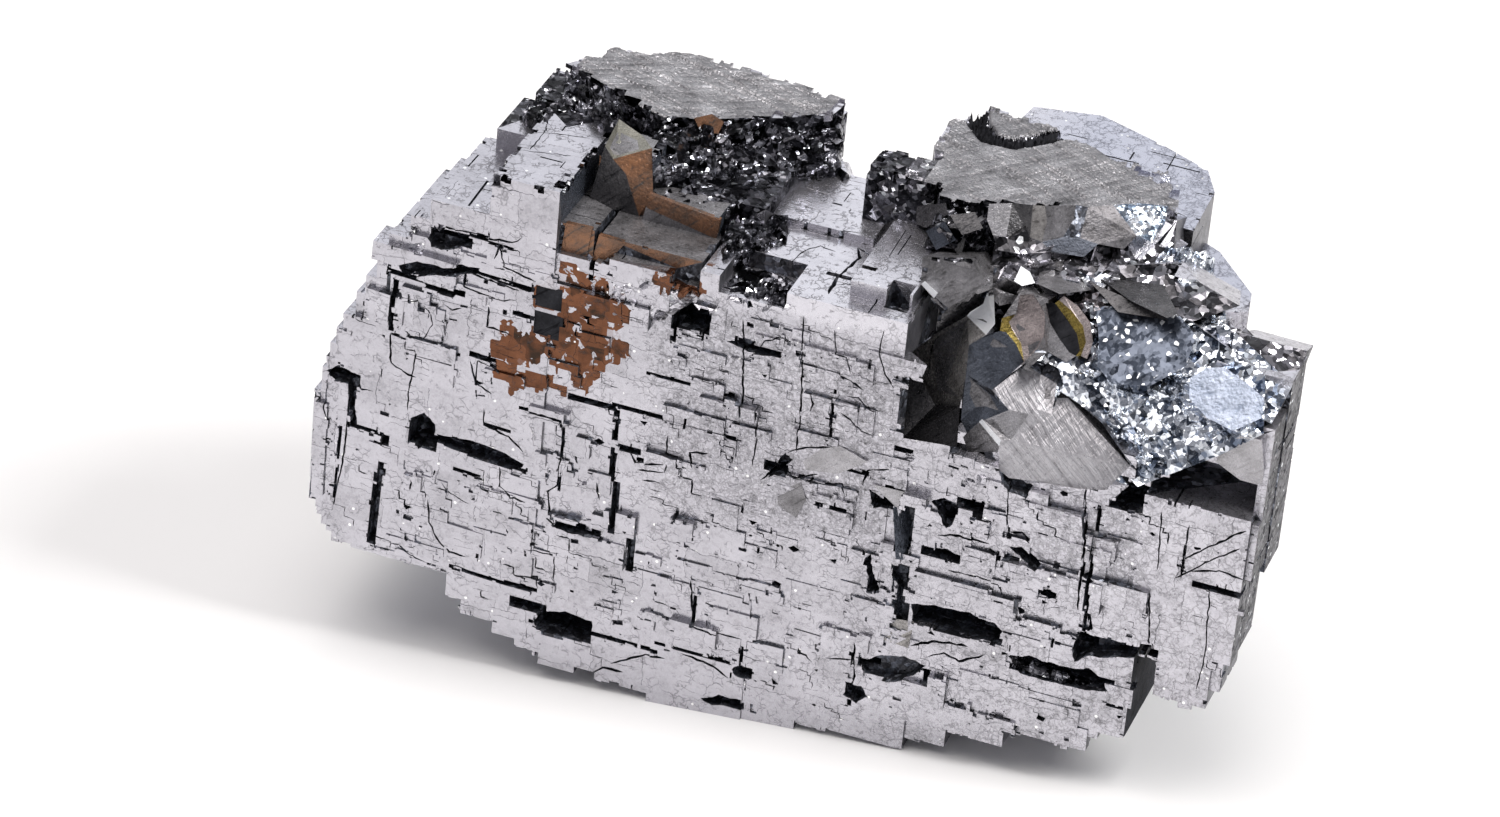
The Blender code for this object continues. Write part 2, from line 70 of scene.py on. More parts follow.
FRAME_WIDTH, FRAME_HEIGHT = 1500, 817         # the camera's frame
FOCAL = 6000.0                                # focal length in frame widths' units
SENSOR = 36.0
VIEW_AZIMUTH, VIEW_ELEVATION = math.radians(20.0), math.radians(30.0)
VIEW_DISTANCE = 450.0
CENTRE_SEEN_AT = (700.0, 450.0)               # where the camera sees the lattice centre
RIGHT = np.array((math.cos(VIEW_AZIMUTH), math.sin(VIEW_AZIMUTH), 0.0))
TOWARD = np.array((math.sin(VIEW_AZIMUTH) * math.cos(VIEW_ELEVATION),
                   -math.cos(VIEW_AZIMUTH) * math.cos(VIEW_ELEVATION), math.sin(VIEW_ELEVATION)))
OVER = np.cross(TOWARD, RIGHT)


def sight(x, y):
    """Direction from the eye through a point of the frame: right and up in parts of the
    focal length, and one ahead."""
    x, y = np.asarray(x, float), np.asarray(y, float)
    sideways = (x - FRAME_WIDTH / 2) / FOCAL
    rise = (FRAME_HEIGHT / 2 - y) / FOCAL
    return sideways[..., None] * RIGHT + rise[..., None] * OVER - TOWARD


EYE = LATTICE_CENTRE - VIEW_DISTANCE * sight(*CENTRE_SEEN_AT)


def to_object(points):
    """Lattice millimetres to object metres: the centre plus each part along its direction."""
    return (np.asarray(points, float) @ LATTICE + LATTICE_CENTRE) * MM


def to_lattice(points):
    """Object metres to lattice millimetres: the inverse of to_object."""
    return (np.asarray(points, float) / MM - LATTICE_CENTRE) @ LATTICE.T


def seen(frame_points, axis, level):
    """Lattice points where the sight lines through some frame points meet the plane
    lattice[axis] = level: eye plus the distance along each line that reaches the level."""
    frame_points = np.asarray(frame_points, float)
    lines = sight(frame_points[:, 0], frame_points[:, 1]) @ LATTICE.T
    start = (EYE - LATTICE_CENTRE) @ LATTICE.T
    reach = (level - start[axis]) / lines[:, axis]
    return start + lines * reach[:, None]


# ---------------------------------------------------------------- meshes

def new_piece(name, points, faces, materials):
    """A mesh piece at the origin from lattice points, with its faces turned outwards."""
    mesh = bpy.data.meshes.new(name)
    mesh.from_pydata(to_object(points).tolist(), [], faces)
    for material in materials:
        mesh.materials.append(material)
    work = bmesh.new()
    work.from_mesh(mesh)
    bmesh.ops.recalc_face_normals(work, faces=work.faces)
    work.to_mesh(mesh)
    work.free()
    piece = bpy.data.objects.new(name, mesh)
    bpy.context.scene.collection.objects.link(piece)
    return piece


def patch_shell(corners, counts, relief, depth):
    """A closed rough skin over a four-cornered patch: points blend the corners evenly, rise
    by the relief along the patch's normal, and a flat back lies the depth behind."""
    first, second, third, fourth = (np.array(corner, float) for corner in corners)
    columns, rows = counts
    u, v = np.meshgrid(np.linspace(0, 1, columns), np.linspace(0, 1, rows), indexing="ij")
    u, v = u[..., None], v[..., None]
    flat = first * (1 - u) * (1 - v) + second * u * (1 - v) + third * u * v + fourth * (1 - u) * v
    normal = np.cross(second - first + third - fourth, fourth - first + third - second)
    normal /= np.linalg.norm(normal)
    width = np.linalg.norm(second - first + third - fourth) / 2
    height = np.linalg.norm(fourth - first + third - second) / 2
    rise = relief(u[..., 0] * width, v[..., 0] * height, width, height)
    front = (flat + rise[..., None] * normal).reshape(-1, 3)
    index = np.arange(columns * rows).reshape(columns, rows)
    quads = np.stack((index[:-1, :-1], index[1:, :-1], index[1:, 1:], index[:-1, 1:]), -1)
    rim = np.concatenate((index[:, 0], index[-1, 1:], index[-2::-1, -1], index[0, -2:0:-1]))
    behind = flat.reshape(-1, 3)[rim] - depth * normal
    base = len(front)
    back = base + np.arange(len(rim))
    skirt = np.stack((rim, back, np.roll(back, -1), np.roll(rim, -1)), -1)
    faces = quads.reshape(-1, 4).tolist() + skirt.tolist() + [back.tolist()]
    return np.concatenate((front, behind)), faces


def ring_body(first, second, turned=False):
    """A closed body between two rings of corners: both ends, then a side to each pair of
    corners. `turned` reverses the two ends."""
    count = len(first)
    index = np.arange(count)
    after = np.roll(index, -1)
    step = -1 if turned else 1
    ends = [index[::step].tolist(), (index[::-step] + count).tolist()]
    sides = np.stack((index, after, after + count, index + count), -1).tolist()
    return np.concatenate((first, second)), ends + sides


def random_turns(rng, count, leaning):
    """Turned cubes' face directions: a cube's three axes, blended by `leaning` from square
    to the patch to fully random, then made square again and pointed outwards."""
    turns = np.empty((count, 3, 3))
    for place in range(count):
        axes = np.eye(3) * (1 - leaning) + rng.normal(size=(3, 3)) * leaning
        square, _ = np.linalg.qr(axes)
        turns[place] = square.T * np.where(square.T[:, 2:] < 0, -1, 1)
    return turns


CUBE_SIZES = (0.45, 1.25)                     # least and greatest, in parts of a skin's cube size
CUBE_REACH = 2.4                              # how far a cube can show, in its own radii
STEEPEST = 0.08                               # least outward part of a cube face's direction
UNSEEN = 9.0                                  # mm, more than any cube rises
RIM_WIDTH = 0.9                               # how wide a skin's sinking rim is, in cube sizes


def grown_cubes(seed, spacing, size, leaning, spread=0.5, rim=0.8, ground=-0.6):
    """The relief of cubes grown through each other: each cube's height is the lowest of its
    three upper face planes, the surface is the highest cube, and it sinks at the rim."""
    def relief(u, v, width, height):
        rng = np.random.default_rng(seed)
        columns = max(2, int(width / spacing))
        rows = max(2, int(height / spacing))
        x = (np.arange(columns)[:, None] + rng.uniform(0, 1, (columns, rows))) * width / columns
        y = (np.arange(rows)[None, :] + rng.uniform(0, 1, (columns, rows))) * height / rows
        x, y = x.ravel(), y.ravel()
        radii = size * rng.uniform(*CUBE_SIZES, len(x))
        lifts = rng.uniform(-spread, spread, len(x)) * size
        surface = np.full(u.shape, ground, float)
        step_u = width / (u.shape[0] - 1)
        step_v = height / (u.shape[1] - 1)
        turns = random_turns(rng, len(x), leaning)
        for px, py, radius, lift, axes in zip(x, y, radii, lifts, turns):
            reach = CUBE_REACH * radius
            west, east = int(max(0, (px - reach) / step_u)), int((px + reach) / step_u) + 2
            low, high = int(max(0, (py - reach) / step_v)), int((py + reach) / step_v) + 2
            du, dv = u[west:east, low:high] - px, v[west:east, low:high] - py
            rise = np.full(du.shape, UNSEEN)
            for across, along, outward in axes:
                face = (radius - across * du - along * dv) / max(outward, STEEPEST)
                rise = np.minimum(rise, face)
            window = surface[west:east, low:high]
            np.maximum(window, rise - radius + lift, out=window)
        edge = np.minimum(np.minimum(u, width - u), np.minimum(v, height - v))
        return surface - rim * np.clip(1 - edge / (RIM_WIDTH * size), 0, 1) ** 2
    return relief


WEAR = 0.09                                   # mm that a worn top lies below its level
PLATE_REACH = ((0.6, 0.25), (3.8, 1.4))       # half sizes of its plates, least and greatest
PLATE_STEP = 0.06
SCRATCH_REACH = (0.5, 3.0)                    # half lengths of its scratches
SCRATCH_WIDTH = (0.05, 0.11)
SCRATCH_DEPTH = (0.05, 0.16)
SCRATCH_BOW = 0.02
HOLLOW_HALF_WIDTH = 0.95
HOLLOW_ROUGHNESS = 0.3
TOP_GRAIN = 0.014
LEAST_WEAR = 0.01


def worn(seed, plates, scratches, turn, hollow=(), hollow_depth=0.0):
    """How deep a level top is worn: low square plates laid over each other, narrow scratches
    along one direction, and a rough trough round a path (mm of the patch), deepest on the
    path itself."""
    def relief(u, v, width, height):
        rng = np.random.default_rng(seed)
        surface = np.full(u.shape, WEAR)
        ahead = np.array((math.cos(turn), math.sin(turn)))
        along = u * ahead[0] + v * ahead[1]
        aside = v * ahead[0] - u * ahead[1]
        least, most = (along.min(), aside.min()), (along.max(), aside.max())
        for _ in range(plates):
            middle = rng.uniform(least, most)
            reach = rng.uniform(*PLATE_REACH)
            inside = (np.abs(along - middle[0]) < reach[0]) & (np.abs(aside - middle[1]) < reach[1])
            surface[inside] += rng.uniform(-PLATE_STEP, PLATE_STEP)
        for _ in range(scratches):
            middle = rng.uniform(least, most)
            bow = SCRATCH_BOW * (along - middle[0]) ** 2
            inside = (np.abs(along - middle[0]) < rng.uniform(*SCRATCH_REACH)) & (
                np.abs(aside - middle[1] - bow) < rng.uniform(*SCRATCH_WIDTH))
            surface[inside] += rng.uniform(*SCRATCH_DEPTH)
        near = np.full(u.shape, UNSEEN)
        for start, end in zip(hollow[:-1], hollow[1:]):
            span = np.subtract(end, start)
            right, over = u - start[0], v - start[1]
            share = np.clip((right * span[0] + over * span[1]) / (span @ span), 0, 1)
            near = np.minimum(near, np.hypot(right - share * span[0], over - share * span[1]))
        dented = np.clip(1 - (near / HOLLOW_HALF_WIDTH) ** 2, 0, 1)
        rough = 1 + HOLLOW_ROUGHNESS * rng.normal(size=u.shape)
        surface = surface + dented * hollow_depth * rough
        return np.maximum(surface + TOP_GRAIN * rng.normal(size=u.shape), LEAST_WEAR)
    return relief


def closed_copy(node, name):
    """A copy of a frame solid with its loose triangles joined into one closed surface."""
    mesh = node.data.copy()
    work = bmesh.new()
    work.from_mesh(mesh)
    bmesh.ops.remove_doubles(work, verts=work.verts, dist=MM / 10000)
    work.to_mesh(mesh)
    work.free()
    piece = bpy.data.objects.new(name, mesh)
    mesh.name = name
    bpy.context.scene.collection.objects.link(piece)
    return piece


SIGHT_REACH = 1.0                             # metres


def touched(x, y, lift=0.0):
    """Where the sight line through a frame point first meets the cluster, moved nearer to the
    eye by the lift: lattice millimetres."""
    line = sight(x, y)
    place, _, _, _ = cluster_surface.ray_cast(Vector(EYE * MM), Vector(line), SIGHT_REACH)
    if place is None:
        raise ValueError(f"the sight line {x}, {y} passes the cluster")
    return to_lattice(np.array(place) - line / np.linalg.norm(line) * lift * MM)


FOREMOST = 0.69                               # how far out the foremost slab of the front lies
GLANCING = 0.45                               # a facet that faces the eye less than this
TURNED_BACK = 0.6                             # is turned towards it by this much
BACK_SHARE = 0.8                              # size of a facet's back in parts of its front


def shard(name, outline, lift, depth, material, lean=(0.0, 0.0)):
    """One flat facet with crystal behind it. The sight lines through the outline meet one
    plane, fitted to where they touch the cluster and moved nearer the eye by the lift; the
    back is the outline drawn in towards its centre and moved the depth away. No corner
    passes the foremost slab."""
    lines = np.array([sight(x, y) @ LATTICE.T for x, y in outline])
    eye = LATTICE @ (EYE - LATTICE_CENTRE)
    touches = np.array([touched(x, y) for x, y in outline])
    middle = touches.mean(axis=0)
    _, _, spans = np.linalg.svd(touches - middle)
    toward, sideways, over = LATTICE @ TOWARD, LATTICE @ RIGHT, LATTICE @ OVER
    normal = spans[2] if spans[2] @ toward > 0 else -spans[2]
    if normal @ toward < GLANCING:
        normal = normal + TURNED_BACK * toward
    normal = normal + lean[0] * sideways + lean[1] * over
    middle = middle + lift * toward
    reach = ((middle - eye) @ normal) / (lines @ normal)
    front = eye + lines * reach[:, None]
    front[:, 2] = np.minimum(front[:, 2], FOREMOST)
    centre = front.mean(axis=0)
    rear = centre + BACK_SHARE * (front - centre) - depth * toward
    return new_piece(name, *ring_body(front, rear), (material,))


def mosaic_shell(facets, away, near):
    """Facets that share corners, as one closed body: each corner is a frame point and how far
    out it lies; the facets stand at `near` mm nearer the eye, the back at `away` mm nearer."""
    corners = sorted({corner for _, outline in facets for corner in outline})
    places = np.array([seen([(x, y)], 2, out)[0] for x, y, out in corners])
    lines = np.array([sight(x, y) @ LATTICE.T for x, y, _ in corners])
    lines /= np.linalg.norm(lines, axis=1)[:, None]
    spots = {corner: number for number, corner in enumerate(corners)}
    count = len(corners)
    faces, chosen, rims = [], [], {}
    for number, (_, outline) in enumerate(facets):
        ring = [spots[corner] for corner in outline]
        frame_points = np.array([corner[:2] for corner in outline])
        after = np.roll(frame_points, -1, axis=0)
        if np.sum(frame_points[:, 0] * after[:, 1] - frame_points[:, 1] * after[:, 0]) > 0:
            ring.reverse()
        faces += [ring, [corner + count for corner in reversed(ring)]]
        chosen += [number, number]
        for start, end in zip(ring, ring[1:] + ring[:1]):
            if rims.pop((end, start), None) is None:
                rims[(start, end)] = number
    for (start, end), number in rims.items():
        faces.append([end, start, start + count, end + count])
        chosen.append(number)
    return np.concatenate((places - lines * near, places - lines * away)), faces, chosen


def mosaic(name, facets, depth):
    """Facets that share corners, each with its own finish, and crystal behind them."""
    finishes = sorted({finish for finish, _ in facets}, key=lambda material: material.name)
    points, faces, chosen = mosaic_shell(facets, -depth, 0.0)
    piece = new_piece(name, points, faces, finishes)
    for face, number in zip(piece.data.polygons, chosen):
        face.material_index = finishes.index(facets[number][0])
    return piece


def skin(name, corners, cell, relief, depth, material):
    """A rough skin over four points of the frame (x, y, lift), first to fourth anticlockwise:
    a patch whose grid has one step to each cell of millimetres."""
    places = [touched(*corner) for corner in corners]
    width = max(np.linalg.norm(places[1] - places[0]), np.linalg.norm(places[2] - places[3]))
    height = max(np.linalg.norm(places[3] - places[0]), np.linalg.norm(places[2] - places[1]))
    counts = (int(width / cell) + 2, int(height / cell) + 2)
    return new_piece(name, *patch_shell(places, counts, relief, depth), (material,))


def face_middles(mesh):
    """Each face's middle and normal in the lattice."""
    middles = np.empty(len(mesh.polygons) * 3)
    normals = np.empty(len(mesh.polygons) * 3)
    mesh.polygons.foreach_get("center", middles)
    mesh.polygons.foreach_get("normal", normals)
    return to_lattice(middles.reshape(-1, 3)), normals.reshape(-1, 3) @ LATTICE.T


def openness(mesh, probes, reach):
    """How open each face's surroundings are, from 0 to 1: the share of probe directions over
    the face that leave it and meet nothing within the reach (mm)."""
    tree = BVHTree.FromPolygons([vertex.co for vertex in mesh.vertices],
                                [tuple(face.vertices) for face in mesh.polygons])
    turn = np.arange(probes) * math.pi * (3 - math.sqrt(5))
    rise = np.sqrt(1 - (np.arange(probes) + 0.5) / probes)
    spread = np.sqrt(1 - rise ** 2)
    fan = np.stack((spread * np.cos(turn), spread * np.sin(turn), rise), -1)
    shares = np.empty(len(mesh.polygons))
    for place, face in enumerate(mesh.polygons):
        outward = face.normal
        sideways = outward.orthogonal().normalized()
        along = outward.cross(sideways)
        start = face.center + outward * (0.02 * MM)
        met = 0
        for east, north, high in fan:
            line = sideways * east + along * north + outward * high
            met += tree.ray_cast(start, line, reach * MM)[0] is not None
        shares[place] = 1 - met / probes
    return shares


def strip_shell(path, widths, floor, ceiling):
    """A closed strip along a path: each station is moved half the width to either side,
    square to the path, at the floor and at the ceiling."""
    path = np.asarray(path, float)
    ahead = np.gradient(path, axis=0)
    ahead /= np.linalg.norm(ahead, axis=1)[:, None] + 1e-9
    aside = np.stack((-ahead[:, 1], ahead[:, 0]), -1) * np.asarray(widths)[:, None] / 2
    count = len(path)
    rings = np.empty((count, 4, 3))
    for corner, (side, level) in enumerate(((-1, floor), (1, floor), (1, ceiling), (-1, ceiling))):
        rings[:, corner, :2] = path + side * aside
        rings[:, corner, 2] = level
    index = np.arange(count * 4).reshape(count, 4)
    around = np.roll(index, -1, axis=1)
    quads = np.stack((index[:-1], around[:-1], around[1:], index[1:]), -1).reshape(-1, 4)
    ends = [index[0, ::-1].tolist(), index[-1].tolist()]
    return rings.reshape(-1, 3), quads.tolist() + ends


CLOSEST = 0.05                                # mm between a crack's stations
WIDTHS = (0.55, 1.35)                         # a crack's widths in parts of its own
TAPER = 0.5                                   # mm over which a crack narrows at its ends
HAIR = 0.25                                   # width at the very end in parts of its own


def ragged(path, width, rng, step=0.45, sway=0.06):
    """A drawn path broken into short stations that sway to the side, and a width that
    varies along it and narrows to a hair at both ends."""
    path = np.asarray(path, float)
    lengths = np.concatenate(((0,), np.cumsum(np.linalg.norm(np.diff(path, axis=0), axis=1))))
    count = max(3, int(lengths[-1] / step) + 1)
    along = np.union1d(np.linspace(0, lengths[-1], count), lengths)
    keep = np.concatenate(((True,), np.diff(along) > CLOSEST))
    along = along[keep]
    stations = np.stack([np.interp(along, lengths, path[:, axis]) for axis in (0, 1)], -1)
    stations += rng.uniform(-sway, sway, stations.shape)
    ends = np.minimum(1, np.minimum(along, lengths[-1] - along) / TAPER + HAIR)
    return stations, width * rng.uniform(*WIDTHS, len(along)) * ends


CLEAR_BY = 0.02                               # mm between the boxes of one group's shells


def carve(piece, cutters, operation, material):
    """Cut or add many closed shells. Shells are dealt into groups whose boxes keep clear of
    each other, and each group is one Boolean. One that loses half the faces has failed, and
    is left out."""
    groups = []
    for points, faces in cutters:
        low, high = points.min(axis=0) - CLEAR_BY, points.max(axis=0) + CLEAR_BY
        for group in groups:
            lows, highs = np.array(group["low"]), np.array(group["high"])
            if not np.any(np.all((low < highs) & (high > lows), axis=1)):
                break
        else:
            group = {"low": [], "high": [], "points": [], "faces": [], "count": 0}
            groups.append(group)
        group["low"].append(low)
        group["high"].append(high)
        group["points"].append(points)
        group["faces"] += [[corner + group["count"] for corner in face] for face in faces]
        group["count"] += len(points)
    for group in groups:
        tool = new_piece("cutter", np.concatenate(group["points"]), group["faces"], (material,))
        cut = piece.modifiers.new(operation, "BOOLEAN")
        cut.operation, cut.solver, cut.object = operation, "MANIFOLD", tool
        cut.material_mode = "TRANSFER"
        depsgraph = bpy.context.evaluated_depsgraph_get()
        finished = bpy.data.meshes.new_from_object(piece.evaluated_get(depsgraph))
        piece.modifiers.remove(cut)
        if len(finished.polygons) > len(piece.data.polygons) // 2:
            piece.data = finished
        used = tool.data
        bpy.data.objects.remove(tool)
        bpy.data.meshes.remove(used)


# ---------------------------------------------------------------- materials

class Wire:
    """A number socket of a material: arithmetic on it adds the Math nodes it needs."""

    def __init__(self, graph, socket):
        self.graph, self.socket = graph, socket

    def maths(self, operation, *values):
        return self.graph.node("ShaderNodeMath", {"operation": operation}, *values)["Value"]

    def __add__(self, other):
        return self.maths("ADD", self, other)

    def __sub__(self, other):
        return self.maths("SUBTRACT", self, other)

    def __rsub__(self, other):
        return self.maths("SUBTRACT", other, self)

    def __mul__(self, other):
        return self.maths("MULTIPLY", self, other)

    def __truediv__(self, other):
        return self.maths("DIVIDE", self, other)

    __radd__ = __add__
    __rmul__ = __mul__

    def over(self, edge, soft=0.02):
        """One above the edge and zero below it, through a ramp of the given width."""
        return self.maths("MULTIPLY_ADD", self - edge, 1.0 / soft, 0.5).held()

    def held(self):
        return self.maths("MINIMUM", self.maths("MAXIMUM", self, 0.0), 1.0)

    def size(self):
        return self.maths("ABSOLUTE", self)

    def floor(self):
        return self.maths("FLOOR", self)

    def part(self):
        return self.maths("FRACT", self)

    def most(self, other):
        return self.maths("MAXIMUM", self, other)

    def least(self, other):
        return self.maths("MINIMUM", self, other)


class Outputs:
    """A node's outputs by name, each as a Wire."""

    def __init__(self, graph, node):
        self.graph, self.made = graph, node

    def __getitem__(self, name):
        found = [socket for socket in self.made.outputs if socket.name == name and socket.enabled]
        return Wire(self.graph, found[0])


SMALL_CELLS = 2.6                             # small crystals to each large one, along a line
SMALL_TILT = 0.7                              # how far they lean in parts of the large ones' lean


class Graph:
    """One material's nodes."""

    def __init__(self, name):
        self.material = bpy.data.materials.new(name)
        self.material.use_nodes = True
        self.tree = self.material.node_tree
        self.shader = self.tree.nodes["Principled BSDF"]

    def feed(self, socket, value):
        """Set a socket to a value, or link it to a wire."""
        if isinstance(value, Wire):
            self.tree.links.new(value.socket, socket)
        elif isinstance(value, tuple) and len(value) == 3 and socket.type == "RGBA":
            socket.default_value = (*value, 1.0)
        else:
            socket.default_value = value

    def node(self, kind, settings=None, *values, **named):
        """A node of a type: its settings first, then its sockets' values or links."""
        made = self.tree.nodes.new(kind)
        for setting, value in (settings or {}).items():
            if setting == "stops":
                ramp = made.color_ramp.elements
                while len(ramp) < len(value):
                    ramp.new(0.5)
                for stop, (place, colour) in zip(ramp, value):
                    stop.position, stop.color = place, (*colour, 1.0)
            else:
                setattr(made, setting, value)
        inputs = [socket for socket in made.inputs if socket.enabled]
        for socket, value in zip(inputs, values):
            self.feed(socket, value)
        for name, value in named.items():
            label = name.replace("_", " ")
            self.feed(next(socket for socket in inputs if socket.name == label), value)
        return Outputs(self, made)

    def finish(self, **inputs):
        """Feed the surface shader's own sockets."""
        for name, value in inputs.items():
            self.feed(self.shader.inputs[name.replace("_", " ")], value)
        return self.material

    def blend(self, factor, first, second):
        """A colour mixed from two by a factor."""
        settings = {"data_type": "RGBA", "clamp_factor": True}
        return self.node("ShaderNodeMix", settings, factor, first, second)["Result"]

    def vector(self, operation, *values):
        """One vector sum or product."""
        return self.node("ShaderNodeVectorMath", {"operation": operation}, *values)["Vector"]

    def ramp(self, factor, *stops):
        """A colour from a ramp: each stop is its place and its colour."""
        return self.node("ShaderNodeValToRGB", {"stops": stops}, factor)["Color"]

    def bump(self, height, strength, distance):
        """The surface's normal leant by a height over it."""
        return self.node("ShaderNodeBump", None, Strength=strength, Distance=distance,
                         Height=height)["Normal"]

    def turned(self, place, *angles):
        """A place turned about the three axes, by radians."""
        return self.node("ShaderNodeVectorRotate", {"rotation_type": "EULER_XYZ"}, Vector=place,
                         Rotation=angles)["Vector"]

    def stretched(self, place, *scales):
        """A place stretched along the three axes."""
        return self.vector("MULTIPLY", place, scales)

    def parts(self, colour):
        """A colour's red, green and blue."""
        return self.node("ShaderNodeSeparateColor", None, colour)

    def axes(self, place):
        """A place's X, Y and Z."""
        return self.node("ShaderNodeSeparateXYZ", None, place)

    def cells(self, place, scale, **settings):
        """A place's Voronoi cells, `scale` to a millimetre."""
        settings.setdefault("feature", "F1")
        return self.node("ShaderNodeTexVoronoi", settings, Vector=place, Scale=scale)

    def lattice(self):
        """The surface point in millimetres of the lattice: across, back and up."""
        coordinates = self.node("ShaderNodeTexCoord")["Object"]
        across, out, up = -LATTICE @ LATTICE_CENTRE @ SWAPPED
        return self.node("ShaderNodeMapping", {"vector_type": "POINT"}, Vector=coordinates,
                         Location=(across, out, up), Rotation=(0.0, -LEAN, 0.0),
                         Scale=(1 / MM, 1 / MM, 1 / MM))["Vector"]

    def noise(self, place, scale, detail=2.0, rough=0.5):
        """Soft noise from 0 to 1 over a place, `scale` waves to a millimetre."""
        return self.node("ShaderNodeTexNoise", {"noise_dimensions": "3D"}, Vector=place,
                         Scale=scale, Detail=detail, Roughness=rough)["Fac"]

    def chance(self, x, y, shift=0.0):
        """A random number for each whole pair."""
        pair = self.node("ShaderNodeCombineXYZ", None, x, y, shift)["Vector"]
        return self.node("ShaderNodeTexWhiteNoise", {"noise_dimensions": "3D"}, Vector=pair)["Value"]

    def crystals(self, place, scale, tilt):
        """Normals of small crystals grown at all angles: each cell of the pattern leans the
        surface's own normal its own way. Also gives the cells' random numbers."""
        cells = self.cells(place, scale)
        small = self.cells(place, scale * SMALL_CELLS)
        normal = self.node("ShaderNodeNewGeometry")["Normal"]
        for pattern, share in ((cells, tilt), (small, tilt * SMALL_TILT)):
            lean = self.vector("SUBTRACT", pattern["Color"], (0.5, 0.5, 0.5))
            normal = self.vector("ADD", normal, self.stretched(lean, share, share, share))
        shades, grains = self.parts(cells["Color"]), self.parts(small["Color"])
        return self.vector("NORMALIZE", normal), shades["Red"], shades["Green"], grains["Red"]


def hairlines(graph, x, y, width, height, line, seed, share):
    """Broken rectangular hairlines: rows of a height, each shifted at random and split into
    tiles of a width; a tile keeps its edge lines by chance. Gives the lines and the tile's
    own random number."""
    rows = y / height + seed
    row = rows.floor()
    columns = x / width + graph.chance(row, seed) * 9.0
    column = columns.floor()
    tile = graph.chance(column, row, seed)
    other = graph.chance(column, row, seed + 3.7)
    gap_x = (0.5 - (columns.part() - 0.5).size()) * width
    gap_y = (0.5 - (rows.part() - 0.5).size()) * height
    upright = (line - gap_x).over(0.0, line) * (share - tile).over(0.0)
    level = (line - gap_y).over(0.0, line) * (share - other).over(0.0)
    return upright.most(level), tile


def within(across, up, boxes, soft):
    """One inside any box of the lattice (across from, to, up from, to), zero outside."""
    shares = []
    for west, east, low, high in boxes:
        sideways = (across - west).least(east - across)
        upward = (up - low).least(high - up)
        shares.append(sideways.least(upward).over(0.0, soft))
    return functools.reduce(Wire.most, shares)


WARM_REFLECTION_BOXES = (                      # copper-brown painted reflection of a warm surrounding on the front: across and up
    (-13.4, -8.6, 9.4, 12.9), (-12.0, -6.6, 5.6, 10.4), (-16.7, -11.6, 1.4, 6.6),
    (-12.4, -8.8, 2.0, 6.2), (-4.4, -0.2, 12.6, 14.5))
GRAINED = (                        # greyer, grainy parts of the front
    (-4.0, 15.2, -5.0, 12.5), (26.5, 34.0, -2.0, 4.4))
CRACKLE = (                        # curved cracks: nets to a mm, width and how rare they are
    (0.55, 0.022, 0.50), (1.5, 0.045, 0.48), (3.4, 0.08, 0.56))
PAINTED_LIGHT_TERRACE_FROM = (1.0, 13.5)         # brighter from here on, across and up: the terrace, its top lightened as painted light
RIGHT_FROM = (24.0, -9.0)          # and the front's right
WARM_REFLECTION_TO = 1.4                    # how far back the painted warm reflection goes
REAR_FROM = (16.0, 17.0)           # bluer from here on, across and back: the rear crystals
PAINTED_GLINT_SIZE = 0.16                  # white painted glints: radius in parts of a cell, and how rare
PAINTED_GLINT_RARITY = 0.988


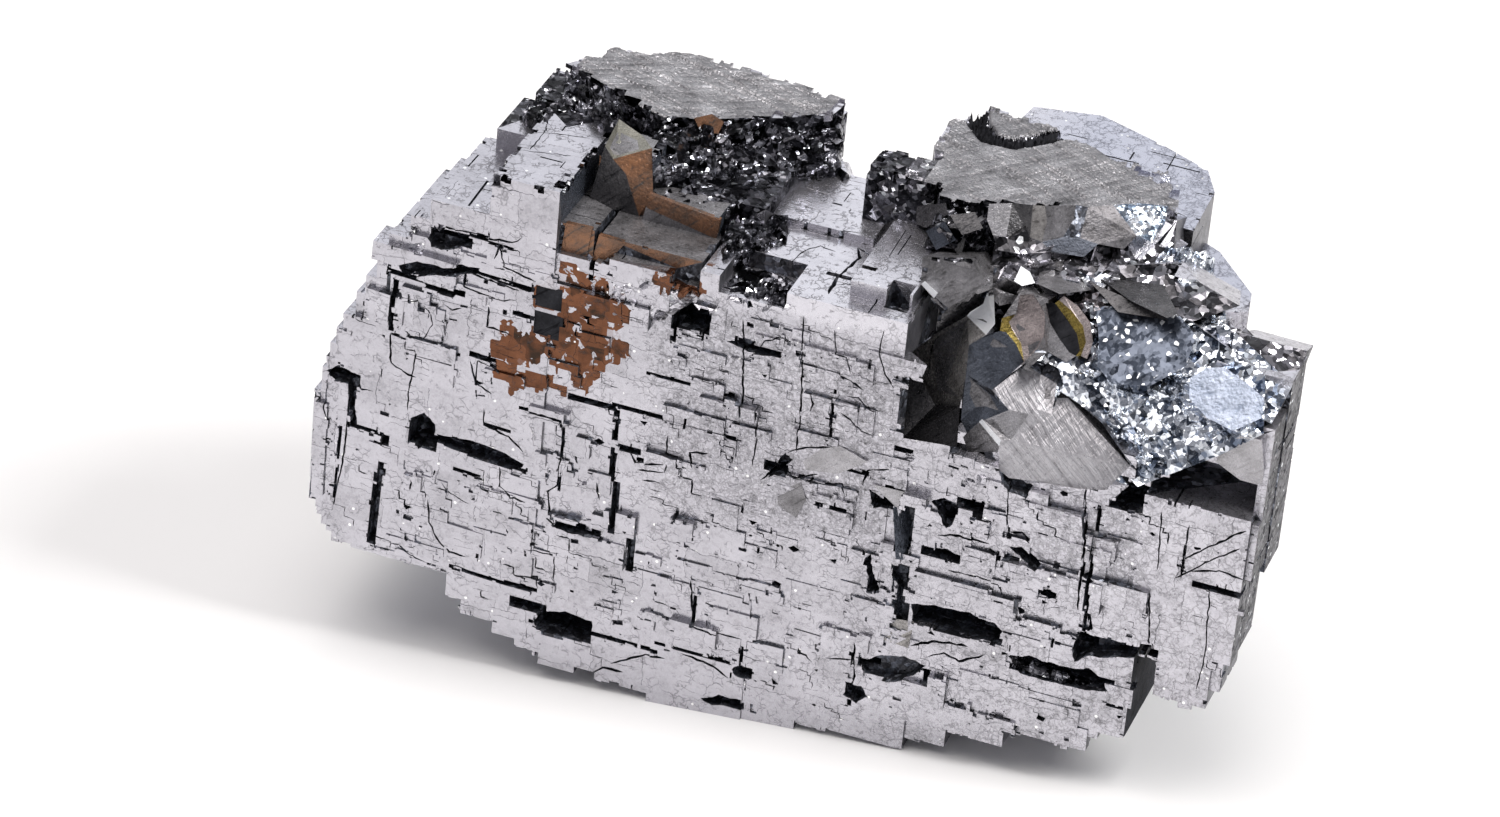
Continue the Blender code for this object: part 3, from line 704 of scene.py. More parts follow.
def cleavage_finish():
    """Bright lead-grey cleavage with a violet cast: square hairlines, tiles of slightly differing tone,
    grey grain towards the right, copper-brown painted reflection in the notch, the terrace top lightened
    as painted light, and a few white painted glints."""
    graph = Graph("galena cleavage")
    place = graph.lattice()
    spread = graph.axes(place)
    across, back, up = spread["X"], spread["Y"], spread["Z"]
    tiles = graph.axes(graph.node("ShaderNodeUVMap", {"uv_map": "cleavage"})["UV"])
    sway = (graph.noise(place, 0.55, 3.0) - 0.5) * 1.1
    jitter = (graph.noise(place, 2.6, 2.0) - 0.5) * 0.34
    x, y = tiles["X"] + sway + jitter, tiles["Y"] + sway * 0.8 - jitter
    large, large_tile = hairlines(graph, x, y, 4.3, 2.7, 0.035, 0.31, 0.24)
    small, small_tile = hairlines(graph, x + 1.7, y, 1.5, 0.62, 0.024, 4.77, 0.12)
    patchy = graph.noise(place, 0.33, 2.0)
    cracked = large.most(small * patchy.over(0.52, 0.06)) * (0.45 + patchy * 0.6).held()

    grained = (within(across, up, GRAINED, 4.0) * 0.75 + (across / 90.0)).held()
    speckle = graph.noise(place, 5.5, 3.0, 0.65)
    blotch = graph.noise(place, 1.5, 4.0, 0.72)
    bent = graph.node("ShaderNodeTexNoise", None, Vector=place, Scale=1.4, Detail=2.0)["Color"]
    bent = graph.vector("ADD", place, graph.vector("SCALE", bent, 0.9))
    crackle = 0.0
    for scale, line, rarity in CRACKLE:
        edge = graph.cells(bent, scale, feature="DISTANCE_TO_EDGE")["Distance"]
        broken = graph.noise(place, scale * 0.45, 3.0) + grained * 0.20 - rarity - 0.08
        crackle = (line - edge).over(0.0, line) * broken.over(0.0, 0.06) + crackle
    scale_tone = graph.parts(graph.cells(bent, 1.25)["Color"])["Red"]
    flecks = (0.44 - graph.noise(bent, 2.1, 4.0, 0.7)).over(0.0, 0.05)
    grey = (speckle - 0.5) * (0.35 + grained * 0.9) + (patchy - 0.5) * 0.35
    grey = grey + (scale_tone - 0.5) * (0.06 + grained * 0.16) - flecks * (0.08 + grained * 0.26)
    grey = grey - (0.46 - blotch).over(0.0, 0.16) * grained * 0.30
    tone = 0.63 + (large_tile - 0.5) * 0.13 + (small_tile - 0.5) * 0.06 + grey + grained * 0.13
    # painted light: the terrace top is painted lighter
    terrace = (up - PAINTED_LIGHT_TERRACE_FROM[1]).over(0.0, 1.0) * (across - PAINTED_LIGHT_TERRACE_FROM[0]).over(0.0, 2.0)
    right = (across - RIGHT_FROM[0]).over(0.0, 4.0) * (up - RIGHT_FROM[1]).over(0.0, 4.0)
    bright = graph.ramp((tone + terrace * 0.36 + right * 0.12).held(),
                        (0.0, (0.10, 0.099, 0.105)), (0.35, (0.33, 0.325, 0.35)),
                        (0.62, (0.515, 0.505, 0.55)), (1.0, (0.66, 0.65, 0.70)))

    cells = graph.cells(place, 0.72, distance="CHEBYCHEV")
    seats, hue = graph.axes(cells["Position"]), graph.parts(cells["Color"])
    # painted reflection: copper-brown patches where the facets mirror a warm surrounding
    coppery = within(seats["X"], seats["Z"], WARM_REFLECTION_BOXES, 0.1)
    coppery = coppery * (0.94 - hue["Red"]).over(0.0) * (WARM_REFLECTION_TO - back).over(0.0, 0.4)
    scrap = graph.cells(bent, 1.9, distance="CHEBYCHEV")
    coppery = coppery * (1 - (graph.parts(scrap["Color"])["Red"] - 0.89).over(0.0, 0.02))
    copper = graph.ramp(graph.noise(place, 1.3, 3.0) * 0.6 + hue["Green"] * 0.4,
                        (0.25, (0.040, 0.026, 0.019)), (0.42, (0.125, 0.053, 0.029)),
                        (0.8, (0.200, 0.085, 0.045)))
    colour = graph.blend(coppery, bright, copper)
    colour = graph.blend(crackle.held() * (0.42 - grained * 0.10), colour, (0.05, 0.048, 0.052))
    colour = graph.blend(cracked * 0.85, colour, (0.014, 0.014, 0.018))
    rear = (back - REAR_FROM[1]).over(0.0, 3.0) * (across - REAR_FROM[0]).over(0.0, 8.0)
    colour = graph.blend(rear * 0.5, colour, (0.41, 0.44, 0.55))
    # painted glints: a few rare cells of the front are painted white
    painted_glint_cells = graph.cells(place, 2.6)
    lit = graph.parts(painted_glint_cells["Color"])["Blue"].over(PAINTED_GLINT_RARITY, 0.004)
    lit = lit * (PAINTED_GLINT_SIZE - painted_glint_cells["Distance"] * 0.5).over(0.0, 0.05)
    colour = graph.blend(lit, colour, (1.0, 1.0, 1.0))

    rough = 0.24 + grained * 0.13 + (speckle - 0.5) * 0.16 + cracked * 0.3
    relief = (large_tile - 0.5) * 0.10 + (small_tile - 0.5) * 0.05 + (speckle - 0.5) * 0.16
    height = relief + graph.noise(place, 1.1, 4.0) * 0.25 - cracked * 0.7 - crackle * 0.35
    return graph.finish(Base_Color=colour, Metallic=0.92, Roughness=rough.held(),
                        Normal=graph.bump(height, 0.30, 0.00016))


def crack_finish():
    """Walls of cracks, grooves and pits painted dark slate as painted shade, with a few lit grains as
    painted glints.
    """
    graph = Graph("galena crack walls")
    leaning, red, green, grain = graph.crystals(graph.lattice(), 2.2, 0.9)
    colour = graph.ramp(red * 0.55 + green * green * 0.35 + (grain - 0.5) * 0.2,
                        (0.0, (0.020, 0.020, 0.024)), (0.40, (0.060, 0.062, 0.074)),
                        (0.66, (0.15, 0.165, 0.205)), (0.88, (0.55, 0.58, 0.66)))
    return graph.finish(Base_Color=colour, Metallic=0.6, Roughness=0.3 + green * 0.2, Normal=leaning)


def streaked_finish(name, turn):
    """Grey tops: blotches, fine flecks, and a few streaks along one direction of the top."""
    graph = Graph(name)
    place = graph.lattice()
    turned = graph.node("ShaderNodeVectorRotate", {"rotation_type": "Z_AXIS"}, Vector=place,
                        Angle=-math.radians(turn))["Vector"]
    streaks = graph.noise(graph.stretched(turned, 0.22, 2.2, 2.2), 1.0, 3.0, 0.6)
    broad = graph.noise(place, 0.4, 3.0)
    fleck = graph.noise(place, 3.8, 3.0, 0.75)
    tone = 0.45 + (streaks - 0.5) * 0.75 + (broad - 0.5) * 0.9 + (fleck - 0.5) * 0.7
    colour = graph.ramp(tone.held(), (0.1, (0.09, 0.09, 0.095)), (0.4, (0.30, 0.295, 0.31)),
                        (0.62, (0.44, 0.435, 0.455)), (0.85, (0.74, 0.735, 0.77)))
    return graph.finish(Base_Color=colour, Metallic=0.9, Roughness=0.24 + fleck * 0.2,
                        Normal=graph.bump(streaks * 0.6 + fleck * 0.5 + broad, 0.6, 0.0004))


def striated_finish():
    """Pale facet ruled with fine slanting growth lines."""
    graph = Graph("galena striated facet")
    place = graph.lattice()
    turned = graph.turned(place, 0.0, math.radians(-38.0), 0.0)
    lines = graph.noise(graph.stretched(turned, 0.18, 0.5, 2.6), 1.0, 3.0, 0.65)
    crossed = graph.noise(graph.stretched(turned, 2.4, 0.5, 0.3), 1.0, 2.0)
    fleck = graph.noise(place, 4.5, 2.0, 0.7)
    tone = 0.5 + (lines - 0.5) * 1.2 + (crossed - 0.5) * 0.4 + (fleck - 0.5) * 0.5
    colour = graph.ramp(tone.held(), (0.1, (0.16, 0.155, 0.165)), (0.38, (0.42, 0.41, 0.435)),
                        (0.7, (0.56, 0.55, 0.58)), (1.0, (0.78, 0.77, 0.82)))
    return graph.finish(Base_Color=colour, Metallic=0.5, Roughness=0.22 + fleck * 0.15,
                        Normal=graph.bump(lines + crossed * 0.4, 0.6, 0.0004))


def sparkling_finish(name, dark, light, share, scale, tilt, rough, rare=0.93):
    """Crystals broken at all angles: most dark, a share of them bright, partly their own differing
    tone and partly painted glints, and the smallest whose random number is over `rare` painted white as
    glints."""
    graph = Graph(name)
    place = graph.lattice()
    leaning, red, green, grain = graph.crystals(place, scale, tilt)
    broad = graph.noise(place, 0.45, 2.0)
    # partly painted glints: a share of the crystals painted light
    lit = (red * 0.45 + grain * 0.55 + (broad - 0.5) * 0.9).over(1 - share, 0.35)
    fine = graph.noise(place, 5.0, 2.0, 0.6)
    colour = graph.blend((lit + (fine - 0.5) * 0.4).held(), dark, light)
    painted_glint_spark = (grain - rare).over(0.0, 0.02) * (green - 0.35).over(0.0, 0.1)
    colour = graph.blend(painted_glint_spark, colour, (0.95, 0.97, 1.0))
    return graph.finish(Base_Color=colour, Metallic=0.95, Roughness=rough + green * 0.14,
                        Normal=leaning)


def facet_finish(name, low, high, scale=1.2, rough=0.2, metallic=0.6, specular=0.5):
    """A smooth single facet: soft cloudy tone, flecks and a few ruled scratches."""
    graph = Graph(name)
    place = graph.lattice()
    cloud = graph.noise(place, 0.5 * scale, 3.0)
    fleck = graph.noise(place, 3.4 * scale, 3.0, 0.7)
    turned = graph.turned(place, 0.4, 0.7, 0.3)
    ruled = graph.noise(graph.stretched(turned, 0.25, 3.0, 3.0), scale, 2.0, 0.6)
    scratch = (0.36 - ruled).over(0.0, 0.04)
    tone = (cloud - 0.5) * 1.5 + (fleck - 0.5) * 0.7 + (ruled - 0.5) * 0.5 - scratch * 0.35 + 0.5
    colour = graph.blend(tone.held(), low, high)
    return graph.finish(Base_Color=colour, Metallic=metallic, Roughness=rough + fleck * 0.15,
                        Specular_IOR_Level=specular,
                        Normal=graph.bump(fleck * 0.5 + cloud + ruled * 0.5, 0.4, 0.0003))


# A sparkling finish's numbers are its dark and light colour, the share that is light, crystals
# to a millimetre, how far they lean, their roughness and how rare the white ones are. A facet
# finish's are its two colours, its scale, roughness, metallic part and specular level.
cleavage = cleavage_finish()
shaded_crack_walls = crack_finish()
streaked = streaked_finish("galena streaked top", 30.0)
cross_streaked = streaked_finish("galena cross-streaked top", 50.0)
striated = striated_finish()
dark_druse = sparkling_finish("galena dark druse", (0.022, 0.022, 0.027), (0.34, 0.34, 0.38),
                              0.32, 1.1, 1.2, 0.16, 0.955)
# painted glints: its light crystals are near white, standing in for glints of the lamps
fracture = sparkling_finish("galena bright fracture", (0.13, 0.16, 0.22), (0.86, 0.90, 0.97),
                            0.58, 1.1, 1.1, 0.12)
dull_fracture = sparkling_finish("galena dull fracture", (0.06, 0.075, 0.105), (0.42, 0.46, 0.54),
                                 0.38, 1.1, 0.9, 0.2, 0.95)
grey_druse = sparkling_finish("galena grey druse", (0.05, 0.049, 0.054), (0.42, 0.41, 0.45),
                              0.42, 0.8, 0.8, 0.2, 0.955)
# painted glints: its light scales are near white, standing in for glints of the lamps
scales = sparkling_finish("galena bright scales", (0.30, 0.37, 0.47), (0.92, 0.95, 1.0),
                          0.55, 1.6, 0.8, 0.12)
crumbled = sparkling_finish("galena crumbled edge", (0.16, 0.155, 0.165), (0.62, 0.61, 0.66),
                            0.6, 1.2, 0.6, 0.25)
# painted shade with real grain: the darkened right-facing side of the right column
grained_shaded_side = sparkling_finish("galena grained side", (0.02, 0.02, 0.024), (0.14, 0.138, 0.152),
                              0.45, 1.6, 0.6, 0.4, 0.985)
misted_facet = sparkling_finish("galena misted facet", (0.040, 0.048, 0.066), (0.155, 0.175, 0.220),
                                0.46, 1.3, 0.16, 0.3, 0.92)
# painted reflection: the copper-brown of these facets stands in for a warm surrounding mirrored in them
warm_reflection_facet = facet_finish("galena coppery facet", (0.075, 0.062, 0.055), (0.32, 0.150, 0.075), 1.0)
# These facet tones are the one lead-grey galena in lighter, darker and tinted copies: partly the facets'
# own grey and partly painted reflection of what each facet faces.
grey_facet = facet_finish("galena grey facet", (0.075, 0.073, 0.076), (0.32, 0.312, 0.33))
pale_facet = facet_finish("galena pale facet", (0.26, 0.255, 0.265), (0.52, 0.51, 0.54))
slate_facet = facet_finish("galena slate facet", (0.035, 0.040, 0.052), (0.125, 0.140, 0.175))
blue_facet = facet_finish("galena blue facet", (0.22, 0.26, 0.34), (0.48, 0.53, 0.64), 0.8)
dark_facet = facet_finish("galena dark facet", (0.020, 0.020, 0.023), (0.125, 0.121, 0.127))
taupe_facet = facet_finish("galena taupe facet", (0.13, 0.122, 0.118), (0.52, 0.50, 0.49), 0.9)
shaded_wall = facet_finish("galena shaded wall", (0.008, 0.008, 0.010), (0.045, 0.046, 0.053),
                           1.2, 0.6, 0.0, 0.05)
olive_facet = facet_finish("galena olive facet", (0.15, 0.145, 0.12), (0.34, 0.33, 0.29), 1.5)
# painted shade: right-facing sides are given this darker finish
shaded_side_wall = facet_finish("galena side wall", (0.045, 0.045, 0.052), (0.20, 0.197, 0.218), 1.8, 0.3)
# painted highlight: a white facet that stands in for a glint
painted_glint_facet = facet_finish("galena bright facet", (0.85, 0.88, 0.93), (0.97, 0.98, 1.0), 1.0, 0.3, 0.0)
rosy_facet = facet_finish("galena rosy facet", (0.26, 0.22, 0.22), (0.60, 0.52, 0.51), 1.6)
gold_edge = facet_finish("galena gold tarnish", (0.07, 0.05, 0.012), (0.36, 0.27, 0.06), 1.8)

# ---------------------------------------------------------------- the crystal

rng = np.random.default_rng(31)
crystal = closed_copy(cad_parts["galena_crystal"], "galena_crystal_cluster")
crystal.data.materials.clear()
crystal.data.materials.append(cleavage)
cluster_surface = BVHTree.FromPolygons([vertex.co for vertex in crystal.data.vertices],
                                       [tuple(face.vertices) for face in crystal.data.polygons])

# Cracks on the front face: width and depth in mm, then the points of the frame they pass.
CRACKS = {
    "left panel upper": (0.16, 0.7, ((391, 332), (391, 363), (408, 373), (417, 377))),
    "left panel side": (0.12, 0.5, ((417, 347), (415, 363), (409, 390), (408, 410))),
    "left small step": (0.14, 0.6, ((357, 376), (361, 389), (373, 391))),
    "brown foot step": (0.14, 0.6, ((470, 361), (476, 383), (492, 393))),
    "box step upper": (0.16, 0.8, ((484, 408), (484, 424), (509, 436), (524, 451))),
    "level over centre": (0.22, 0.9, ((519, 407), (540, 413), (562, 419), (562, 430))),
    "centre upright": (0.16, 0.8, ((563, 418), (563, 443), (557, 486), (547, 493), (549, 516),
        (557, 523))),
    "box step lower": (0.14, 0.6, ((500, 466), (500, 486), (512, 496), (526, 501))),
    "pit branch": (0.12, 0.6, ((441, 481), (451, 493), (469, 504))),
    "curved crack": (0.16, 0.8, ((428, 499), (430, 519), (439, 539), (449, 551), (466, 557))),
    "left foot line": (0.14, 0.6, ((383, 541), (399, 544), (413, 556), (426, 562))),
    "foot box": (0.14, 0.6, ((517, 575), (537, 577), (538, 588))),
    "foot frame": (0.12, 0.5, ((525, 547), (555, 556), (553, 582))),
    "stair one": (0.20, 0.8, ((615, 446), (628, 451), (635, 463), (665, 463))),
    "stair two": (0.16, 0.7, ((636, 470), (664, 474))),
    "stair three": (0.16, 0.7, ((641, 481), (660, 484))),
    "stair four": (0.14, 0.6, ((648, 489), (661, 493))),
    "small angle": (0.18, 0.7, ((693, 467), (690, 452), (708, 454))),
    "low upright": (0.16, 0.7, ((691, 580), (694, 622), (714, 630), (744, 638))),
    "foot run": (0.18, 0.8, ((681, 652), (711, 664), (729, 677))),
    "foot dashes": (0.20, 0.8, ((590, 675), (602, 668), (622, 672))),
    "foot dash two": (0.16, 0.7, ((610, 664), (645, 655), (665, 658))),
    "upper left line": (0.16, 0.8, ((437, 224), (455, 231), (480, 236), (512, 242), (522, 238))),
    "upper left branch": (0.14, 0.7, ((495, 258), (500, 245), (505, 266), (536, 281))),
    "parallel one": (0.22, 0.9, ((457, 264), (480, 272), (510, 284), (535, 291))),
    "parallel two": (0.18, 0.8, ((468, 272), (500, 283), (520, 290))),
    "upper box": (0.16, 0.7, ((466, 270), (465, 284), (480, 291), (500, 300), (516, 300))),
    "below the long groove": (0.16, 0.7, ((489, 305), (488, 326), (503, 331), (512, 335))),
    "steps by the brown": (0.12, 0.5, ((476, 385), (477, 360), (489, 365), (502, 372))),
    "arc": (0.10, 0.4, ((405, 300), (420, 299), (431, 308), (434, 322), (424, 338), (410, 335),
        (398, 324))),
    "short tick": (0.12, 0.5, ((446, 305), (452, 310), (462, 307))),
    "left tall crack": (0.14, 0.6, ((347, 418), (343, 460), (338, 481), (333, 506))),
    "left corner crack": (0.12, 0.5, ((325, 385), (322, 410), (325, 420))),
    "mid left dash": (0.16, 0.7, ((575, 452), (576, 466))),
    "hooked dash": (0.16, 0.8, ((597, 483), (598, 500))),
    "low left jag": (0.26, 0.9, ((553, 522), (570, 528), (588, 533), (602, 533))),
    "over the channel": (0.16, 0.7, ((862, 485), (868, 470), (890, 468))),
    "panel upright one": (0.14, 0.7, ((743, 320), (744, 372), (742, 420))),
    "panel upright two": (0.14, 0.7, ((804, 316), (803, 360), (800, 420), (796, 452))),
    "panel upright three": (0.12, 0.6, ((758, 405), (757, 440), (752, 466))),
    "panel upright four": (0.12, 0.6, ((835, 330), (836, 352), (848, 356), (852, 372))),
    "panel curve": (0.10, 0.4, ((756, 352), (766, 340), (782, 336), (796, 344))),
    "right border": (0.12, 0.6, ((884, 330), (880, 350), (886, 376), (894, 388))),
    "split one": (0.20, 0.8, ((838, 372), (852, 380), (862, 390))),
    "split two": (0.18, 0.8, ((812, 392), (814, 402), (812, 410))),
    "ragged one": (0.14, 0.7, ((846, 396), (858, 398), (866, 407), (880, 412))),
    "ragged two": (0.14, 0.7, ((842, 410), (852, 418), (862, 430), (874, 434))),
    "ragged three": (0.16, 0.7, ((770, 470), (784, 470), (800, 477), (818, 474))),
    "under panels": (0.16, 0.7, ((788, 452), (806, 448), (830, 447))),
    "wedge line": (0.16, 0.7, ((806, 478), (818, 482), (843, 484), (846, 495))),
    "right face upright": (0.18, 0.9, ((1086, 484), (1085, 512), (1087, 545), (1082, 580), (1080, 606))),
    "right face inner": (0.12, 0.6, ((1162, 512), (1158, 570))),
    "upright by the slot": (0.14, 0.7, ((1010, 478), (1009, 510), (1008, 536))),
    "ledge one": (0.22, 0.8, ((938, 534), (960, 536), (989, 545))),
    "ledge two": (0.18, 0.7, ((1008, 532), (1022, 534), (1032, 543))),
    "ledge three": (0.14, 0.6, ((1000, 554), (1020, 560))),
    "level dash": (0.14, 0.6, ((947, 571), (975, 577), (998, 584), (1001, 596))),
    "low right ragged": (0.20, 0.8, ((912, 644), (936, 640), (968, 645))),
    "low right ragged two": (0.18, 0.8, ((928, 656), (945, 652), (960, 660), (985, 654))),
    "low border": (0.16, 0.7, ((856, 640), (854, 680), (846, 692))),
    "low border foot": (0.14, 0.6, ((826, 656), (854, 658))),
    "bottom dash": (0.14, 0.6, ((795, 650), (806, 656), (812, 662))),
    "slab band upper": (0.14, 0.6, ((1190, 524), (1184, 560), (1181, 577))),
    "slab slant one": (0.16, 0.7, ((1181, 560), (1205, 548), (1246, 530))),
    "slab slant two": (0.16, 0.7, ((1176, 578), (1206, 562), (1240, 548))),
    "slab level": (0.18, 0.7, ((1192, 571), (1220, 570), (1246, 580))),
    "right long groove": (0.16, 0.7, ((1076, 652), (1100, 655), (1130, 655))),
    "stair by the right": (0.14, 0.6, ((1150, 590), (1149, 640), (1152, 660))),
    "right step line": (0.12, 0.5, ((1210, 590), (1206, 650), (1196, 690))),
}
FRONT_FLOOR = -0.15                           # cuts in the front go this deep and their own
DRAWN_CEILING = 1.4                           # depth, and their cutters reach out this far


def drawn_cracks():
    """The named cracks, each a ragged strip through the front face to its own depth."""
    for width, depth, points in CRACKS.values():
        path = seen(points, 2, 0.0)[:, :2]
        stations, widths = ragged(path, width, rng)
        yield strip_shell(stations, widths, FRONT_FLOOR - depth, DRAWN_CEILING)


FINE_CRACKS = 125
FINE_FIELD = ((-30, 41), (-20, 14))           # across and up
FINE_RUN = (0.4, 1.5)                         # mm
FINE_DEPTH = (0.15, 0.5)
LEFT_BLOCK_TO = -10                           # across: to here cracks lean a little more
RIGHT_RUNS, LEFT_RUNS = 0.7, 1.3              # runs are shorter to the right


def fine_cracks():
    """Short cracks along the lattice, as square hooks and stairs, shorter at the right: each
    turns from level to upright and back at every step."""
    for _ in range(FINE_CRACKS):
        across, up = (rng.uniform(*span) for span in FINE_FIELD)
        lean = -0.05 if across < LEFT_BLOCK_TO else -0.02
        run = rng.uniform(*FINE_RUN) * (RIGHT_RUNS if across > 0 else LEFT_RUNS)
        path = [(across, up)]
        level = rng.random() < 0.6
        for _ in range(rng.integers(2, 7)):
            step = run * rng.uniform(0.3, 1.2) if level else -run * rng.uniform(0.2, 0.9)
            across, up = path[-1]
            path.append((across + step, up + lean * step) if level else (across, up + step))
            level = not level
        stations, widths = ragged(path, 0.045 + 0.10 * rng.random() ** 2, rng, 0.3, 0.05)
        yield strip_shell(stations, widths, FRONT_FLOOR - rng.uniform(*FINE_DEPTH), DRAWN_CEILING)


def turned_box(middle, sizes, axes):
    """A closed box round a middle, with its sizes along three turned axes."""
    signs = np.array([(x, y, z) for x in (-1, 1) for y in (-1, 1) for z in (-1, 1)])
    points = middle + (signs * np.asarray(sizes) / 2) @ axes
    faces = [[0, 1, 3, 2], [4, 6, 7, 5], [0, 4, 5, 1], [2, 3, 7, 6], [0, 2, 6, 4], [1, 5, 7, 3]]
    return points, faces


def near_square(rng, lean):
    """Three square axes turned a little off the lattice."""
    square, upper = np.linalg.qr(np.eye(3) + rng.normal(size=(3, 3)) * lean)
    return square.T * np.sign(np.diag(upper))[:, None]


# Pits in the front face: depth in mm, then the outline in the frame.
PITS = {
    "brown slot": (1.6, ((912, 603), (935, 604), (970, 612), (996, 622), (1003, 630), (1000, 640),
        (975, 638), (940, 630), (914, 620))),
    "low band": (1.2, ((1008, 655), (1030, 653), (1060, 664), (1090, 668), (1105, 680), (1108, 690),
        (1080, 688), (1050, 680), (1020, 672))),
    "right angle": (1.4, ((1072, 648), (1080, 632), (1090, 636), (1120, 643), (1150, 648), (1148, 657),
        (1110, 656), (1090, 654), (1076, 660))),
    "junction triangle": (1.2, ((870, 489), (894, 507), (873, 508))),
    "junction wedge": (1.2, ((785, 453), (793, 460), (779, 470), (760, 481), (770, 470))),
    "left foot hollow": (1.4, ((532, 622), (545, 612), (565, 612), (592, 622), (590, 638), (560, 636),
        (536, 630))),
    "left sparkling pit": (1.4, ((410, 418), (424, 412), (436, 425), (432, 445), (418, 448))),
    "left groove": (1.0, ((436, 434), (470, 440), (500, 450), (524, 464), (520, 470), (480, 458),
        (445, 446))),
    "ragged recess": (1.0, ((930, 502), (944, 498), (958, 506), (955, 520), (946, 528), (940, 514))),
    "upper right crumble": (0.9, ((1000, 470), (1016, 474), (1018, 482), (1032, 486), (1028, 496),
        (1010, 490), (1002, 482))),
    "column slot head": (1.2, ((893, 562), (904, 566), (901, 574), (910, 580), (900, 588), (891, 578))),
    "foot slot": (1.0, ((846, 682), (862, 686), (868, 696), (856, 702), (844, 694))),
    "left strip": (0.9, ((347, 378), (356, 380), (354, 400), (357, 424), (350, 426), (349, 400))),
    "short brown slot": (0.9, ((925, 550), (945, 549), (958, 556), (956, 561), (935, 558))),
    "upright split": (1.0, ((1087, 588), (1093, 590), (1090, 612), (1093, 630), (1087, 632))),
    "shallow band": (0.4, ((862, 662), (880, 654), (905, 656), (926, 664), (915, 674), (890, 678),
        (866, 672))),
    "small dark slot": (0.9, ((1040, 592), (1048, 586), (1058, 590), (1060, 598), (1048, 600))),
    "slanted slot": (0.8, ((1010, 545), (1022, 546), (1042, 562), (1038, 568), (1024, 558))),
    "upright wedge": (1.0, ((866, 556), (872, 552), (873, 570), (880, 592), (874, 594), (867, 572))),
    "foot gap": (1.0, ((701, 698), (720, 694), (742, 700), (738, 706), (712, 704))),
    "foot notch": (1.0, ((732, 668), (742, 664), (750, 670), (748, 678), (736, 676))),
    "left corner hollow": (0.9, ((324, 374), (338, 366), (356, 374), (352, 384), (332, 382))),
    "upper left hollow": (0.9, ((428, 236), (442, 230), (470, 236), (466, 246), (444, 250), (432, 246))),
    "panel slot": (0.8, ((727, 341), (750, 342), (784, 350), (782, 356), (748, 352))),
    "far left groove": (1.0, ((397, 262), (420, 258), (446, 264), (480, 268), (478, 274), (440, 272),
        (404, 274))),
}


def kept_inside(shells):
    """Only the added shells that stay within the part's own box."""
    low, high = np.array(cad_low) / MM, np.array(cad_high) / MM
    for points, faces in shells:
        placed = to_object(points) / MM
        if np.all(placed > low + 0.01) and np.all(placed < high - 0.01):
            yield points, faces


def prism(ring, floor, ceiling):
    """A closed upright wall round an outline of the front, from the floor to the ceiling."""
    low, high = (np.column_stack((ring, np.full(len(ring), level))) for level in (floor, ceiling))
    return ring_body(low, high, turned=True)


SIDE_PARTS = 4
PIT_SWAY = 0.07


def drawn_pits():
    """The named pits: each side of the outline is broken into parts that sway a little."""
    for depth, outline in PITS.values():
        ring = seen(outline, 2, 0.0)[:, :2]
        closed = np.vstack((ring, ring[:1]))
        places = np.arange(SIDE_PARTS * len(ring)) / SIDE_PARTS
        corners = np.arange(len(closed))
        ring = np.stack([np.interp(places, corners, closed[:, axis]) for axis in (0, 1)], -1)
        ring += rng.uniform(-PIT_SWAY, PIT_SWAY, ring.shape)
        yield prism(ring, FRONT_FLOOR - depth, DRAWN_CEILING)


CHIPS = 140
CHIP_FIELD = (-29, 41)                        # across: all of the front,
CHIP_CROWD = (4, 36)                          # and where most of them are
CHIP_UP = (-20, 14)
CHIP_DEPTH = (0.5, 1.1)
WIDEST_GAP = 2.9                              # radians between a chip's corners


def chips():
    """Small dark three to five cornered pits in the front, most of them to the right: corners
    at random turns round the middle, or even ones where these leave too wide a gap."""
    for _ in range(CHIPS):
        across = rng.uniform(*(CHIP_FIELD if rng.random() < 0.45 else CHIP_CROWD))
        up = rng.uniform(*CHIP_UP)
        count = int(rng.integers(3, 6))
        radius = 0.07 + 0.26 * rng.random() ** 2.5
        turns = np.sort(rng.uniform(0, 2 * math.pi, count))
        if np.max(np.diff(np.append(turns, turns[0] + 2 * math.pi))) > WIDEST_GAP:
            turns = np.arange(count) * 2 * math.pi / count + rng.uniform(0, 1)
        ring = np.stack((across + radius * 1.5 * np.cos(turns), up + radius * np.sin(turns)), -1)
        yield prism(ring, FRONT_FLOOR - rng.uniform(*CHIP_DEPTH), DRAWN_CEILING)


PLATES = 150
PLATE_FIELD = ((-26, 34), (-17, 12))          # across and up
PLATE_THICK = 1.2                             # mm, of which most is in the crystal


def plates():
    """Thin square plates left standing on the front, from hair-thin to a third of a mm."""
    for _ in range(PLATES):
        across, up = (rng.uniform(*span) for span in PLATE_FIELD)
        size = (rng.uniform(0.8, 5.0), rng.uniform(0.4, 2.0), PLATE_THICK)
        proud = 0.04 + 0.30 * rng.random() ** 2
        middle = np.array((across, up, proud - PLATE_THICK / 2))
        yield turned_box(middle, size, near_square(rng, 0.012))


SHARP = 1.0                                   # radians between the faces of a sharp edge
LONG_EDGE = 0.3                               # mm


